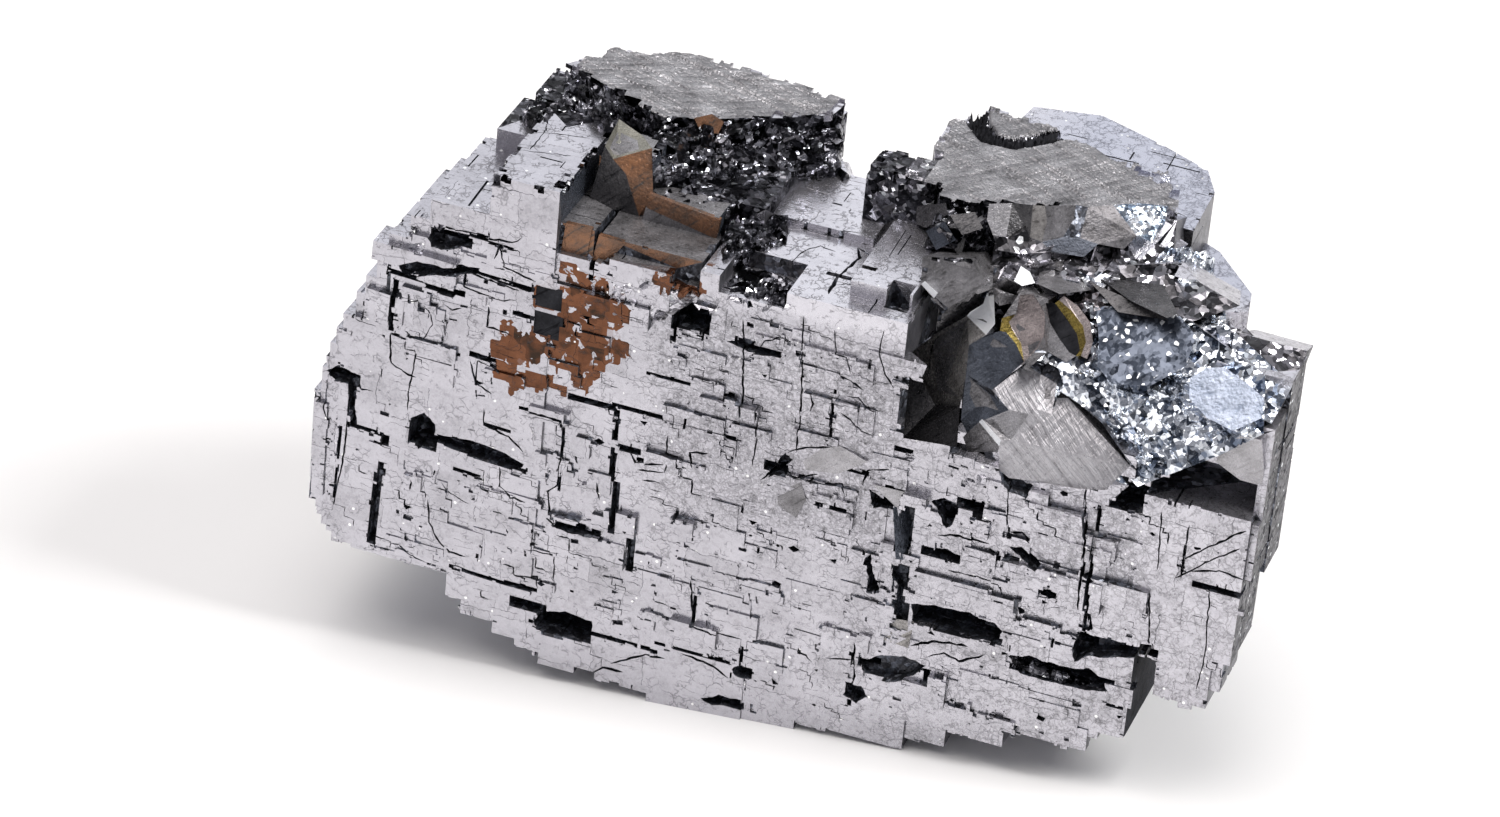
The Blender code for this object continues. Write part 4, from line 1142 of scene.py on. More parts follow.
def edge_boxes(piece, count, least, most, wanted, sink=0.0):
    """Small turned boxes on sharp outer edges, spread by edge length, where `wanted` holds for
    the edge's ends; `sink` moves each inward from the front by that share of its size."""
    work = bmesh.new()
    work.from_mesh(piece.data)
    ends = to_lattice(np.array([
        [tuple(vertex.co) for vertex in edge.verts] for edge in work.edges
        if len(edge.link_faces) == 2 and edge.is_convex
        and edge.calc_face_angle(0) > SHARP and edge.calc_length() > LONG_EDGE * MM]))
    work.free()
    ends = ends[wanted(ends)]
    lengths = np.linalg.norm(ends[:, 1] - ends[:, 0], axis=1)
    chosen = rng.choice(len(ends), count, p=lengths / lengths.sum())
    along = rng.random(count)[:, None]
    middles = ends[chosen, 0] * (1 - along) + ends[chosen, 1] * along
    for middle in middles:
        size = least + (most - least) * rng.random(3) ** 2.2
        yield turned_box(middle - (0, 0, sink * size[2]), size, near_square(rng, 0.06))


CUT_LENGTH = (0.6, 4.5)
CUT_WIDTH = (0.07, 0.22)
CUT_DEPTH = (0.4, 0.9)
CUT_BELOW = 19                                # up: none in the two high tops


def surface_cuts(piece, count):
    """Thin straight cuts along the lattice on every side but the front, spread by area."""
    middles, normals = face_middles(piece.data)
    areas = np.empty(len(piece.data.polygons))
    piece.data.polygons.foreach_get("area", areas)
    flat = np.abs(normals).max(axis=1) > 0.99
    weights = areas * flat * (normals[:, 2] < 0.5) * (middles[:, 1] < CUT_BELOW)
    for face in rng.choice(len(middles), count, p=weights / weights.sum()):
        deep = np.abs(normals[face]).argmax()
        long, short = rng.permutation([axis for axis in range(3) if axis != deep])
        size = np.empty(3)
        for axis, span in ((long, CUT_LENGTH), (short, CUT_WIDTH), (deep, CUT_DEPTH)):
            size[axis] = rng.uniform(*span)
        place = middles[face].copy()
        place[[long, short]] += rng.normal(size=2) * 0.8
        yield turned_box(place, size, near_square(rng, 0.02))


FRONT_FROM, FRONT_TO = -1.0, 14.5             # how far out and up the front's edges lie
TOP_RIMS_FROM = 18.5


def anywhere(ends):
    """Every edge."""
    return np.ones(len(ends), bool)


def on_front(ends):
    """Edges that lie in the front, where the slots and steps are."""
    return np.all((ends[..., 2] > FRONT_FROM) & (ends[..., 1] < FRONT_TO), axis=1)


def on_top_rims(ends):
    """Edges round the two high tops."""
    return np.all(ends[..., 1] > TOP_RIMS_FROM, axis=1)


carve(crystal, list(kept_inside(plates())), "UNION", cleavage)
carve(crystal, list(kept_inside(edge_boxes(crystal, 340, 0.2, 1.3, on_front, 0.5))), "UNION", cleavage)
# What is cut out: how many boxes, least and greatest side in mm, which edges, what it bares.
for count, least, most, wanted, bared in (
        (700, 0.18, 0.85, anywhere, cleavage), (700, 0.12, 0.8, on_front, cleavage),
        (240, 0.4, 1.7, on_top_rims, dark_druse)):
    carve(crystal, list(edge_boxes(crystal, count, least, most, wanted)), "DIFFERENCE", bared)
carve(crystal, list(surface_cuts(crystal, 700)), "DIFFERENCE", shaded_crack_walls)
for shells in (drawn_cracks(), fine_cracks(), drawn_pits(), chips()):
    carve(crystal, list(shells), "DIFFERENCE", shaded_crack_walls)

# Cracks on level tops: the top's height, width, depth, and points of the frame they pass.
TOP_CRACKS = {
    "terrace fork": (15.3, 0.26, 0.7, ((858, 248), (860, 258), (848, 268), (838, 276), (828, 294))),
    "terrace fork arm": (15.3, 0.16, 0.6, ((835, 285), (846, 284), (862, 285), (880, 288))),
    "terrace line": (15.3, 0.14, 0.5, ((858, 248), (872, 256), (890, 261), (910, 260))),
    "terrace back": (15.3, 0.12, 0.5, ((800, 228), (822, 234), (840, 238), (866, 240))),
    "terrace left": (15.3, 0.12, 0.5, ((790, 262), (806, 250), (820, 246), (836, 252))),
    "left top one": (18.9, 0.10, 0.4, ((520, 150), (545, 153), (572, 156))),
    "left top two": (18.9, 0.10, 0.4, ((532, 132), (560, 134), (590, 138))),
    "left top three": (18.9, 0.10, 0.4, ((548, 110), (546, 130), (530, 150))),
}


TOP_CEILING = 0.6                             # mm that a top's cutter reaches over it


def top_cracks():
    """Cracks that run over level tops, as ragged strips (across, out, up) cut down from the
    top; the last two are swapped into the lattice's order."""
    for level, width, depth, points in TOP_CRACKS.values():
        path = seen(points, 1, level)[:, (0, 2)]
        stations, widths = ragged(path, width, rng)
        shell, faces = strip_shell(stations, widths, level - depth, level + TOP_CEILING)
        yield shell[:, (0, 2, 1)], faces


carve(crystal, list(top_cracks()), "DIFFERENCE", shaded_crack_walls)


def lay_tiles(piece):
    """A map for the cleavage pattern: each face takes the two lattice directions that lie in
    it, by its normal's largest part."""
    mesh = piece.data
    corner_count = len(mesh.loops)
    points = np.empty(len(mesh.vertices) * 3)
    mesh.vertices.foreach_get("co", points)
    points = to_lattice(points.reshape(-1, 3))
    normals = np.empty(len(mesh.polygons) * 3)
    mesh.polygons.foreach_get("normal", normals)
    normals = normals.reshape(-1, 3) @ LATTICE.T
    totals = np.empty(len(mesh.polygons), int)
    mesh.polygons.foreach_get("loop_total", totals)
    corners = np.empty(corner_count, int)
    mesh.loops.foreach_get("vertex_index", corners)
    axis = np.repeat(np.abs(normals).argmax(axis=1), totals)
    places = points[corners]
    flat = np.where((axis == 2)[:, None], places[:, (0, 1)],
                    np.where((axis == 1)[:, None], places[:, (0, 2)], places[:, (2, 1)]))
    layer = mesh.uv_layers.new(name="cleavage")
    layer.data.foreach_set("uv", flat.ravel())


# Facets of the broken cluster that share corners: finish, then (frame x, frame y, out).
CAVITY_FACETS = (
    (taupe_facet, ((967, 316, -6.0), (986, 335, -4.4), (969, 345, -3.8), (966, 374, -3.2),
        (962, 398, -3.6), (960, 406, -4.2), (935, 405, -6.5), (916, 372, -7.8), (912, 352, -8.5),
        (938, 332, -7.5))),
    (dark_facet, ((912, 352, -8.5), (916, 372, -7.8), (935, 405, -6.5), (960, 406, -4.2),
        (957, 447, -1.9), (903, 438, -4.2))),
    (painted_glint_facet, ((967, 316, -6.0), (970, 312, -6.0), (983, 304, -6.4), (987, 293, -6.6), (994, 295, -6.6),
        (995, 324, -5.2), (986, 335, -4.4))),
    (slate_facet, ((969, 345, -3.8), (986, 335, -4.4), (1000, 331, -4.6), (1006, 332, -4.6),
        (1016, 344, -4.6), (1024, 362, -4.3), (992, 390, -2.6), (966, 374, -3.2))),
    (gold_edge, ((1006, 332, -4.6), (1013, 331, -5.0), (1021, 343, -4.9), (1024, 362, -4.3),
        (1016, 344, -4.6))),
    (rosy_facet, ((1009, 322, -5.2), (1016, 314, -5.6), (1020, 295, -6.2), (1033, 294, -6.4),
        (1041, 306, -6.2), (1045, 314, -6.0), (1044, 336, -5.4), (1037, 349, -5.0), (1024, 362, -4.3),
        (1021, 343, -4.9), (1013, 331, -5.0))),
    (shaded_wall, ((1046, 303, -6.0), (1055, 303, -5.9), (1066, 318, -5.4), (1077, 334, -4.8),
        (1080, 350, -4.3), (1076, 356, -4.2), (1069, 352, -4.4), (1059, 338, -4.8), (1050, 323, -5.5))),
    (gold_edge, ((1055, 303, -5.9), (1059, 300, -5.9), (1072, 311, -5.4), (1083, 326, -4.9),
        (1086, 342, -4.4), (1081, 356, -4.1), (1076, 356, -4.2), (1080, 350, -4.3), (1077, 334, -4.8),
        (1066, 318, -5.4))),
    (rosy_facet, ((1059, 300, -5.9), (1064, 296, -6.0), (1078, 306, -5.5), (1090, 322, -4.9),
        (1093, 342, -4.3), (1087, 359, -3.9), (1081, 356, -4.1), (1086, 342, -4.4), (1083, 326, -4.9),
        (1072, 311, -5.4))),
    (pale_facet, ((1041, 306, -6.2), (1046, 303, -6.0), (1050, 323, -5.5), (1059, 338, -4.8),
        (1069, 352, -4.4), (1076, 356, -4.2), (1066, 362, -4.0), (1048, 352, -4.6), (1037, 349, -5.0),
        (1044, 336, -5.4), (1045, 314, -6.0))),
    (gold_edge, ((1000, 331, -4.6), (1002, 318, -5.4), (1016, 314, -5.6), (1009, 322, -5.2),
        (1013, 331, -5.0), (1006, 332, -4.6))),
    (shaded_crack_walls, ((966, 374, -3.2), (992, 390, -2.6), (1009, 410, -1.9), (990, 394, -2.8))),
    (slate_facet, ((966, 374, -3.2), (990, 394, -2.8), (1009, 410, -1.9), (979, 422, -1.8),
        (967, 433, -2.0), (961, 420, -2.4), (962, 398, -3.6))),
    (grey_facet, ((963, 437, -1.9), (967, 433, -2.0), (979, 422, -1.8), (999, 446, -0.8),
        (998, 452, -0.8), (968, 452, -1.4))),
    (painted_glint_facet, ((979, 422, -1.8), (982, 419, -1.7), (1001, 440, -0.9), (999, 446, -0.8))),
    (pale_facet, ((979, 422, -1.8), (1009, 410, -1.9), (1029, 414, -2.0), (1011, 440, -1.0),
        (1001, 440, -0.9), (982, 419, -1.7))),
    (striated, ((992, 390, -2.6), (1020, 368, -4.2), (1041, 374, -4.2), (1057, 384, -4.2),
        (1052, 414, -2.4), (1036, 409, -2.3), (1029, 414, -2.0), (1009, 410, -1.9))),
    (shaded_crack_walls, ((1041, 374, -4.2), (1040, 366, -4.8), (1048, 363, -5.0), (1058, 368, -5.0),
        (1062, 378, -4.6), (1057, 384, -4.2))),
    (striated, ((1057, 398, -3.2), (1068, 398, -3.4), (1103, 433, -2.6), (1130, 466, -1.0),
        (1106, 490, -0.2), (1079, 489, -0.2), (1041, 482, -0.3), (1009, 478, -0.3), (999, 470, -0.4),
        (999, 446, -0.8), (1001, 440, -0.9), (1011, 440, -1.0), (1029, 414, -2.0), (1036, 409, -2.3),
        (1052, 414, -2.4))),
    (dark_facet, ((1057, 398, -3.2), (1061, 392, -3.6), (1078, 403, -3.8), (1101, 422, -3.2),
        (1122, 452, -2.2), (1141, 474, -1.2), (1130, 466, -1.0), (1103, 433, -2.6), (1068, 398, -3.4))),
)
NOTCH_FACETS = (
    (olive_facet, ((605, 146, -5.2), (613, 159, -5.15), (652, 148, -6.8), (643, 136, -8.4),
        (619, 119, -9.8))),
    (warm_reflection_facet, ((613, 159, -5.15), (652, 148, -6.8), (653, 194, -5.15), (639, 216, -5.0),
        (626, 174, -5.1))),
    (dark_facet, ((590, 197, -5.1), (605, 146, -5.2), (613, 159, -5.15), (626, 174, -5.1),
        (639, 216, -5.0), (612, 209, -5.05))),
)
RIM_FACETS = (
    (pale_facet, ((989, 204, -10.0), (1012, 203, -10.7), (1009, 222, -9.9), (1006, 237, -9.3),
        (993, 235, -9.0), (987, 220, -9.4))),
    (dark_facet, ((1012, 203, -10.7), (1033, 205, -11.3), (1030, 237, -10.4), (1006, 237, -9.3),
        (1009, 222, -9.9))),
    (taupe_facet, ((1033, 205, -11.3), (1045, 206, -11.6), (1047, 222, -11.2), (1042, 242, -10.6),
        (1030, 237, -10.4))),
    (grey_facet, ((1045, 206, -11.6), (1076, 205, -12.5), (1074, 219, -11.9), (1063, 237, -11.2),
        (1042, 242, -10.6), (1047, 222, -11.2))),
    (shaded_crack_walls, ((1076, 205, -12.5), (1088, 207, -12.9), (1080, 238, -11.3), (1063, 237, -11.2),
        (1074, 219, -11.9))),
    (grey_facet, ((1088, 207, -12.9), (1113, 205, -13.7), (1137, 236, -12.1), (1124, 249, -11.5),
        (1098, 244, -11.3), (1080, 238, -11.3))),
    (scales, ((1113, 205, -13.7), (1138, 203, -14.4), (1168, 206, -15.4), (1165, 224, -13.8),
        (1152, 242, -12.4), (1137, 236, -12.1))),
    (slate_facet, ((1042, 242, -10.6), (1063, 237, -11.2), (1080, 238, -11.3), (1098, 244, -11.3),
        (1084, 257, -10.4), (1052, 252, -10.2))),
    (grey_druse, ((993, 235, -9.0), (1006, 237, -9.3), (1030, 237, -10.4), (1042, 242, -10.6),
        (1052, 252, -10.2), (1020, 254, -8.8), (998, 250, -8.4))),
)
for facets in (CAVITY_FACETS, NOTCH_FACETS):
    points, faces, _ = mosaic_shell(facets, 9.0, -0.06)
    carve(crystal, [(points, faces)], "DIFFERENCE", grey_facet)

# Worn tops: four corners (across, up, out) seen from below, grid and wear.
WORN_TOPS = (
    (((-20.0, 20.2, -24.0), (4.0, 20.2, -24.0), (4.0, 20.2, -11.0), (-20.0, 20.2, -11.0)), (200, 110),
     worn(21, 90, 70, 0.35)),
    (((10.0, 20.4, -31.0), (32.0, 20.4, -31.0), (32.0, 20.4, -9.0), (10.0, 20.4, -9.0)), (190, 190),
     worn(22, 120, 120, 0.55, ((1.7, 6.0), (2.5, 8.4), (3.9, 10.1), (5.7, 10.2), (7.1, 8.8), (8.6, 6.9),
                               (10.3, 6.3),
                           (12.0, 7.0), (13.5, 8.1)), 1.0)),
)
carve(crystal, [patch_shell(corners, counts, relief, 1.0) for corners, counts, relief in WORN_TOPS],
      "DIFFERENCE", streaked)


PROBES, PROBE_REACH = 14, 5.0                 # how openness is probed: lines, and mm
FAR = 99.0                                    # past every face
EVERYWHERE = (-FAR, FAR, -FAR, FAR, -FAR, FAR)
NOTCH = (-13, -1.1, 9, 20.6, -9.2, -0.5)
STEPS = (-FAR, FAR, -FAR, 15, -4.6, -0.7)     # steps and grooves of the front
FRONT_SKIN = -0.6                             # the front's own faces are farther out than this
# The finish of the cluster's faces, later ones over earlier ones: the finish, which faces, and
# where they lie (across from, to, up from, to, out from, to).
FACE_FINISHES = (
    (cleavage, "rim", (-FAR, FAR, 17, FAR, -FAR, -16)),
    (cross_streaked, "lid", (8, FAR, -FAR, FAR, -FAR, FAR)),
    (grey_druse, "lid", (8, 11.6, -FAR, FAR, -17, FAR)),
    (dark_druse, "lid", (10, FAR, -FAR, 20.08, -FAR, FAR)),
    (shaded_wall, "lid", (10, FAR, -FAR, 19.92, -FAR, FAR)),
    # painted shade: every right-facing whole face gets the darker side finish
    (shaded_side_wall, "rightward", EVERYWHERE),
    (streaked, "level", (-FAR, 8, 19.5, FAR, -FAR, FAR)),
    (cross_streaked, "level", (8, FAR, 19.5, FAR, -FAR, FAR)),
    (shaded_wall, "rightward", (34.8, 35.6, -FAR, FAR, -8, FAR)),
    (dark_druse, "frontal", (-FAR, 12, 12, FAR, -FAR, -4)),
    (grey_druse, "frontal", (12, FAR, 12, FAR, -14.5, FAR)),
    (dark_druse, "outward", (-FAR, FAR, 15, FAR, -FAR, -10)),
    (fracture, "oblique", (23, FAR, 6.6, FAR, -12, FAR)),
    (grey_facet, "slanting", (14, 24, 3.5, FAR, -9, -1)),
    # in the notch: level faces grey and outward ones copper-brown as painted reflection, right-facing
    # ones slate as painted shade
    (grey_facet, "level", NOTCH),
    (warm_reflection_facet, "outward", NOTCH),
    (slate_facet, "rightward", NOTCH),
    # painted shade: faces little open to their surroundings, and the front's steps and grooves, get the
    # dark crack finish
    (shaded_crack_walls, "hidden", (-FAR, FAR, -FAR, 15.2, -6, FAR)),
    # painted shade: the most enclosed faces above the front get the dark facet finish
    (dark_facet, "enclosed", (-FAR, FAR, 15.2, FAR, -FAR, FAR)),
    (dark_druse, "forward", (-FAR, -7, 16, 20, -FAR, -11.5)),
    # painted shade with grain: the right column's right-facing side
    (grained_shaded_side, "rightward", (42.4, FAR, -FAR, FAR, -FAR, FAR)),
    (dark_druse, "level", (6, 11.6, 19.5, FAR, -17, FAR)),
    (dark_druse, "whole", (-6, 1.5, 16.4, 17.7, -FAR, -5.5)),
)


def inside(points, box):
    """Which points lie in a box of the lattice."""
    low, high = np.array(box[::2]), np.array(box[1::2])
    return np.all((points > low) & (points < high), axis=1)


def dress(piece):
    """Give each face of the cluster its finish, by where it lies, which way it faces and how open it is:
    right-facing faces and faces in recesses are darkened as painted shade. Rims and lids are what cuts
    bared; the other names are faces whose cleavage is still whole."""
    mesh = piece.data
    slots = [material.name for material in mesh.materials]
    for material in (streaked, dark_druse, grey_druse, fracture, warm_reflection_facet, grey_facet,
                     slate_facet, dark_facet, shaded_side_wall, cross_streaked, grained_shaded_side, shaded_wall,
                     shaded_crack_walls):
        if material.name not in slots:
            mesh.materials.append(material)
            slots.append(material.name)
    chosen = np.empty(len(mesh.polygons), int)
    mesh.polygons.foreach_get("material_index", chosen)
    middles, normals = face_middles(mesh)
    slanting = np.abs(normals).max(axis=1) <= 0.985
    whole = chosen == slots.index(cleavage.name)
    rightward, level, outward = (normals > 0.9).T
    open_to = openness(mesh, PROBES, PROBE_REACH)
    front_skin = outward & (middles[:, 2] > FRONT_SKIN)
    stepped = outward & inside(middles, STEPS) & (open_to < 0.72)
    faces = {
        "whole": whole,
        "level": whole & level,
        "rightward": whole & rightward,
        "outward": whole & outward,
        "slanting": whole & slanting,
        "frontal": whole & slanting & (normals[:, 2] > 0.1),
        "oblique": whole & slanting & (normals[:, 2] > 0.3),
        "forward": whole & (normals[:, 2] > -0.3),
        "hidden": whole & ((open_to < 0.5) & ~front_skin | stepped),
        "enclosed": whole & (open_to < 0.3),
        "lid": chosen == slots.index(streaked.name),
        "rim": chosen == slots.index(dark_druse.name),
    }
    for finish, which, box in FACE_FINISHES:
        chosen[faces[which] & inside(middles, box)] = slots.index(finish.name)
    mesh.polygons.foreach_set("material_index", chosen)


dress(crystal)
lay_tiles(crystal)
pieces = [crystal]

SKIN_DEPTH = 1.6

# Rough skins: four frame points with their lift, the grid step, the cubes
# (seed, spacing, size, leaning, spread, and where they differ rim and ground) and the finish.
SKINS = {
    "left_back_wall": (((652, 172, 0.1), (716, 182, 0.1), (718, 122, 0.0), (657, 118, 0.0)), 0.11, (3,
        0.8, 0.75, 0.45, 0.5), dark_druse),
    "back_wall": (((712, 180, 0.1), (846, 172, 0.1), (846, 112, 0.0), (716, 120, 0.0)), 0.11, (4, 0.85,
        0.85, 0.45, 0.5), dark_druse),
    "left_step_wall": (((560, 96, 0.1), (622, 130, 0.1), (622, 98, 0.0), (566, 68, 0.0)), 0.12, (5, 0.7,
        0.6, 0.4, 0.5), dark_druse),
    "cluster_front_left": (((922, 252, 0.2), (1020, 262, 0.3), (1016, 206, 0.1), (940, 204, 0.1)), 0.11,
        (6, 0.8, 0.7, 0.45, 0.5), dark_druse),
    "cluster_front": (((990, 290, 0.3), (1130, 304, 0.3), (1178, 214, 0.1), (1000, 206, 0.1)), 0.12, (9,
        1.5, 1.5, 0.35, 0.5), grey_druse),
    "cluster_shoulder": (((1120, 320, 0.2), (1236, 334, 0.2), (1214, 262, 0.1), (1170, 236, 0.1)), 0.12,
        (10, 0.8, 0.8, 0.6, 0.5), fracture),
    "fracture_upper": (((1086, 384, 0.1), (1216, 400, 0.2), (1200, 322, 0.2), (1090, 316, 0.1)), 0.11,
        (11, 1.0, 1.0, 0.35, 0.25), dull_fracture),
    "fracture_face": (((1137, 480, 0.3), (1262, 430, 0.3), (1208, 372, 0.3), (1066, 366, 0.0)), 0.11, (7,
        0.75, 0.8, 0.7, 0.45), fracture),
    "column_crown": (((1226, 396, 0.2), (1290, 420, 0.0), (1300, 352, 0.1), (1222, 334, 0.2)), 0.12, (8,
        0.8, 0.7, 0.6, 0.45), fracture),
    "arch_edge": (((378, 268, 0.0), (422, 262, 0.0), (428, 232, 0.0), (402, 240, 0.0)), 0.10, (20, 0.6,
        0.5, 0.25, 0.3, 0.5, -0.3), crumbled),
    "cavity_bright_rubble": (((975, 300, 0.4), (1008, 310, 0.4), (1012, 254, 0.4), (984, 248, 0.4)),
        0.10, (21, 0.6, 0.6, 0.6, 0.4), fracture),
    "crumbled_patch": (((612, 322, 0.0), (664, 322, 0.0), (704, 296, 0.0), (608, 268, 0.0)), 0.08, (13,
        0.42, 0.38, 0.3, 0.4, 0.5, -0.2), crumbled),
    "left_step_rubble": (((512, 116, 0.0), (548, 128, 0.0), (564, 102, 0.0), (534, 98, 0.0)), 0.11, (18,
        0.6, 0.6, 0.5, 0.4), dark_druse),
    "upper_step_rubble": (((556, 104, 0.0), (606, 114, 0.0), (620, 90, 0.0), (572, 84, 0.0)), 0.11, (19,
        0.7, 0.7, 0.5, 0.4), dark_druse),
    "notch_rubble": (((655, 198, 0.0), (722, 218, 0.0), (792, 188, 0.0), (690, 168, 0.0)), 0.10, (16,
        0.8, 0.7, 0.5, 0.5), dark_druse),
    "notch_rubble_front": (((720, 262, 0.1), (790, 246, 0.1), (792, 212, 0.1), (724, 220, 0.1)), 0.10,
        (17, 0.7, 0.6, 0.4, 0.4), dark_druse),
    "recess_rubble": (((718, 292, 0.0), (787, 309, 0.0), (806, 281, 0.0), (741, 263, 0.0)), 0.10, (14,
        0.6, 0.5, 0.35, 0.4), dark_druse),
    "low_band_rubble": (((1008, 668, 0.0), (1112, 704, 0.0), (1112, 690, 0.0), (1010, 654, 0.0)), 0.09,
        (15, 0.5, 0.4, 0.35, 0.35, 0.3, -0.4), dark_druse),
}
pieces += [mosaic("broken_cluster_facets", CAVITY_FACETS, 1.2), mosaic("notch_facets", NOTCH_FACETS, 0.8),
           mosaic("cluster_rim_facets", RIM_FACETS, 1.2)]
for name, (corners, cell, cubes, finish) in SKINS.items():
    pieces.append(skin(name, corners, cell, grown_cubes(*cubes), SKIN_DEPTH, finish))

# Single facets: the finish, the lift and how the facet leans (right, up), then its outline
# in the frame.
SHARDS = {
    "cavity_upper_facet": (grey_facet, 0.5, (0.1, 0.1), ((920, 265), (936, 262), (966, 262), (980, 276),
        (979, 288), (969, 301), (954, 304))),
    "plateau": (misted_facet, 0.9, (0.0, 0.1), ((1095, 311), (1120, 306), (1180, 316), (1196, 336),
        (1186, 366), (1150, 386), (1112, 384), (1097, 366), (1099, 344), (1098, 328))),
    "flat_blue_patch": (blue_facet, 1.2, (0.0, 0.0), ((1190, 378), (1206, 368), (1224, 367), (1248, 384),
        (1264, 398), (1262, 418), (1233, 431), (1207, 418), (1189, 398))),
    "light_low_patch": (pale_facet, 0.9, (0.0, 0.0), ((1216, 462), (1222, 446), (1240, 436), (1262, 440),
        (1264, 470), (1262, 486), (1240, 480))),
    "front_brown_slab": (dark_facet, 1.2, (0.1, 0.2), ((1066, 260), (1085, 263), (1131, 273),
        (1161, 280), (1178, 314), (1167, 318), (1131, 301), (1098, 277))),
    "front_light_band": (grey_facet, 1.2, (0.0, 0.1), ((1025, 248), (1045, 253), (1086, 263),
        (1075, 276), (1045, 266), (1025, 256))),
    "front_white_corner": (painted_glint_facet, 1.2, (0.0, 0.0), ((1021, 266), (1030, 272), (1035, 283), (1022, 286),
        (1014, 281))),
    "junction_light_facet": (pale_facet, 0.12, (0.06, 0.08), ((872, 484), (925, 497), (896, 507))),
    "junction_left_facet": (grey_facet, 0.12, (-0.08, 0.06), ((776, 482), (800, 478), (806, 500),
        (796, 518), (778, 505))),
    "junction_upper_facet": (pale_facet, 0.12, (-0.05, 0.07), ((800, 452), (840, 446), (868, 462),
        (838, 474), (806, 470))),
    "junction_slate_facet": (slate_facet, 0.12, (0.10, 0.0), ((893, 508), (905, 500), (912, 520),
        (905, 560), (895, 560))),
    "junction_slate_foot": (slate_facet, 0.12, (0.10, 0.0), ((893, 575), (905, 590), (902, 612),
        (890, 620))),
    "junction_glint": (painted_glint_facet, 0.2, (0.0, 0.0), ((899, 543), (907, 541), (910, 552), (903, 556))),
    "junction_grey_foot": (taupe_facet, 0.12, (-0.06, 0.08), ((884, 640), (892, 618), (914, 622),
        (908, 648))),
    "wall_brown_upper": (warm_reflection_facet, 1.0, (0.0, 0.0), ((694, 118), (712, 114), (724, 122), (718, 134),
        (700, 130))),
    "wall_brown_left": (warm_reflection_facet, 1.0, (0.0, 0.0), ((697, 140), (711, 137), (714, 150), (709, 164),
        (698, 160))),
    "wall_brown_middle": (warm_reflection_facet, 1.1, (0.1, 0.0), ((718, 149), (732, 146), (742, 155), (738, 165),
        (722, 162))),
    "wall_brown_right": (warm_reflection_facet, 1.0, (0.1, 0.1), ((742, 141), (760, 139), (764, 150), (752, 160),
        (741, 154))),
    "front_low_facet": (dark_facet, 1.0, (-0.2, 0.0), ((950, 215), (975, 212), (983, 228), (962, 235))),
    "front_middle_facet": (grey_facet, 1.1, (0.2, 0.1), ((1040, 268), (1076, 276), (1092, 290),
        (1060, 294), (1038, 284))),
    "front_low_brown_facet": (dark_facet, 1.3, (0.1, 0.2), ((1090, 282), (1140, 304), (1168, 320),
        (1118, 312))),
    "front_left_block": (dark_facet, 1.0, (-0.1, 0.1), ((917, 206), (946, 203), (948, 214), (926, 228),
        (916, 224))),
    "front_dark_facet": (slate_facet, 1.0, (0.1, 0.1), ((926, 231), (945, 222), (956, 240), (936, 250))),
    "front_white_rod": (painted_glint_facet, 1.0, (0.0, 0.0), ((921, 284), (925, 281), (938, 293), (934, 298))),
    "front_small_facet": (grey_facet, 1.2, (0.1, -0.1), ((1031, 240), (1050, 237), (1057, 248),
        (1040, 252))),
}
SHARD_DEPTH = 2.2                             # mm of crystal behind a single facet
SQUARE_DEPTH = 0.4

# Facets that lie square in the lattice: finish, the axis they face and its level, then the
# outline in the frame.
SQUARE_FACETS = {
    "notch_bar_upper": (warm_reflection_facet, 2, -4.65, ((649, 194), (720, 220), (716, 239), (647, 208))),
    "notch_bar_lower": (grey_facet, 2, -4.68, ((646, 207), (716, 238), (711, 262), (640, 226))),
    "ledge_front_left": (warm_reflection_facet, 2, -0.65, ((566, 223), (592, 229), (587, 256), (560, 256))),
    # painted shade: a dark sheet laid on the front where it is in shade
    "copper_dark_panel": (shaded_wall, 2, 0.04, ((532, 285), (564, 290), (562, 342), (529, 334))),
    "ledge_front_right": (warm_reflection_facet, 2, -0.85, ((599, 235), (626, 243), (608, 261), (592, 260))),
}
for name, (finish, axis, level, outline) in SQUARE_FACETS.items():
    front = seen(outline, axis, level)
    behind = front.copy()
    behind[:, axis] -= SQUARE_DEPTH
    pieces.append(new_piece(name, *ring_body(front, behind), (finish,)))
for name, (finish, lift, lean, outline) in SHARDS.items():
    pieces.append(shard(name, outline, lift, SHARD_DEPTH, finish, lean))

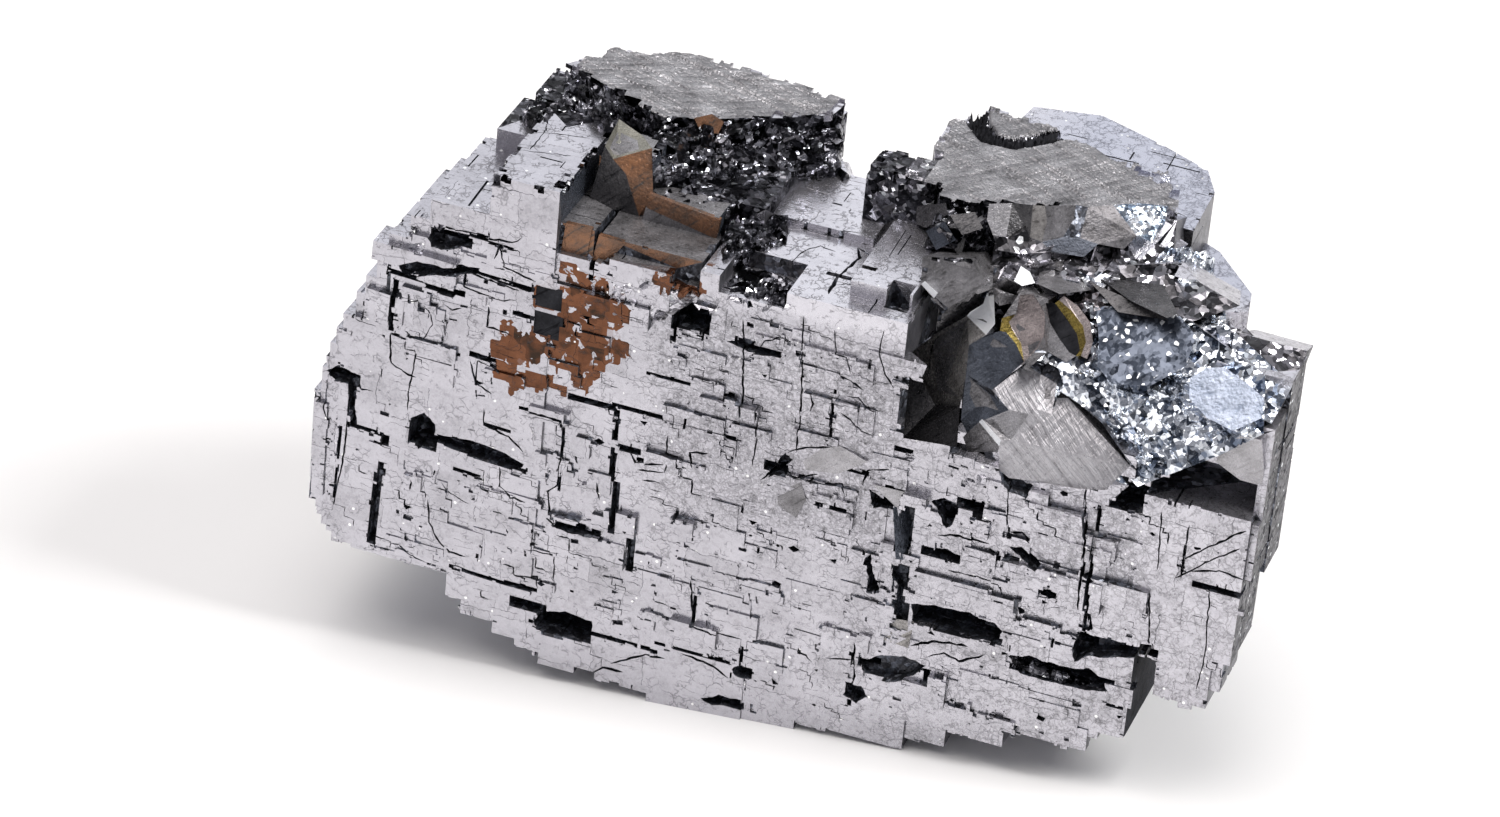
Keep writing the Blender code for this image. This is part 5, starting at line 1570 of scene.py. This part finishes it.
for piece in pieces:
    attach(piece, "root")
    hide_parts("galena_crystal")

# ---------------------------------------------------------------- floor, light and camera

floor_mesh = bpy.data.meshes.new("pale floor")
REACH = 2.5                                   # metres
floor_mesh.from_pydata([(-REACH, -REACH, 0), (REACH, -REACH, 0), (REACH, REACH, 0),
                        (-REACH, REACH, 0)], [], [(0, 1, 2, 3)])
floor = bpy.data.objects.new("pale_floor", floor_mesh)
bpy.context.scene.collection.objects.link(floor)
paper = Graph("white paper")
floor_mesh.materials.append(paper.finish(Base_Color=(0.90, 0.90, 0.90), Roughness=0.75))


# Square soft lights: place and aim in metres, side, power and colour.
LIGHTS = {
    "key light": ((0.62, -0.02, 0.58), (0, 0, 0.02), 0.25, 5.2, (1.0, 0.99, 0.97)),
    "overhead light": ((-0.10, -0.12, 1.0), (0, 0, 0), 0.90, 8.0, (1.0, 0.955, 0.92)),
    "back light": ((-0.38, 1.05, 0.68), (0, 0, 0.03), 0.80, 1.85, (0.96, 0.98, 1.0)),
}
for name, (place, aim, size, power, colour) in LIGHTS.items():
    lamp = bpy.data.lights.new(name, "AREA")
    lamp.size, lamp.energy, lamp.color = size, power, colour
    light = bpy.data.objects.new(name, lamp)
    light.location = place
    light.rotation_euler = (Vector(aim) - Vector(place)).to_track_quat("-Z", "Y").to_euler()
    bpy.context.scene.collection.objects.link(light)

world = bpy.data.worlds.new("soft studio")
world.use_nodes = True
world.node_tree.nodes["Background"].inputs["Color"].default_value = (0.28, 0.28, 0.30, 1.0)
bpy.context.scene.world = world

lens = bpy.data.cameras.new("camera")
lens.sensor_width = SENSOR
lens.lens = FOCAL * SENSOR / FRAME_WIDTH
lens.clip_start, lens.clip_end = 0.01, 20.0
camera = bpy.data.objects.new("camera", lens)
camera.matrix_world = Matrix([(RIGHT[axis], OVER[axis], TOWARD[axis], EYE[axis] * MM)
                              for axis in range(3)] + [(0, 0, 0, 1)])
bpy.context.scene.collection.objects.link(camera)
bpy.context.scene.camera = camera
bpy.context.scene.view_settings.view_transform = "Standard"
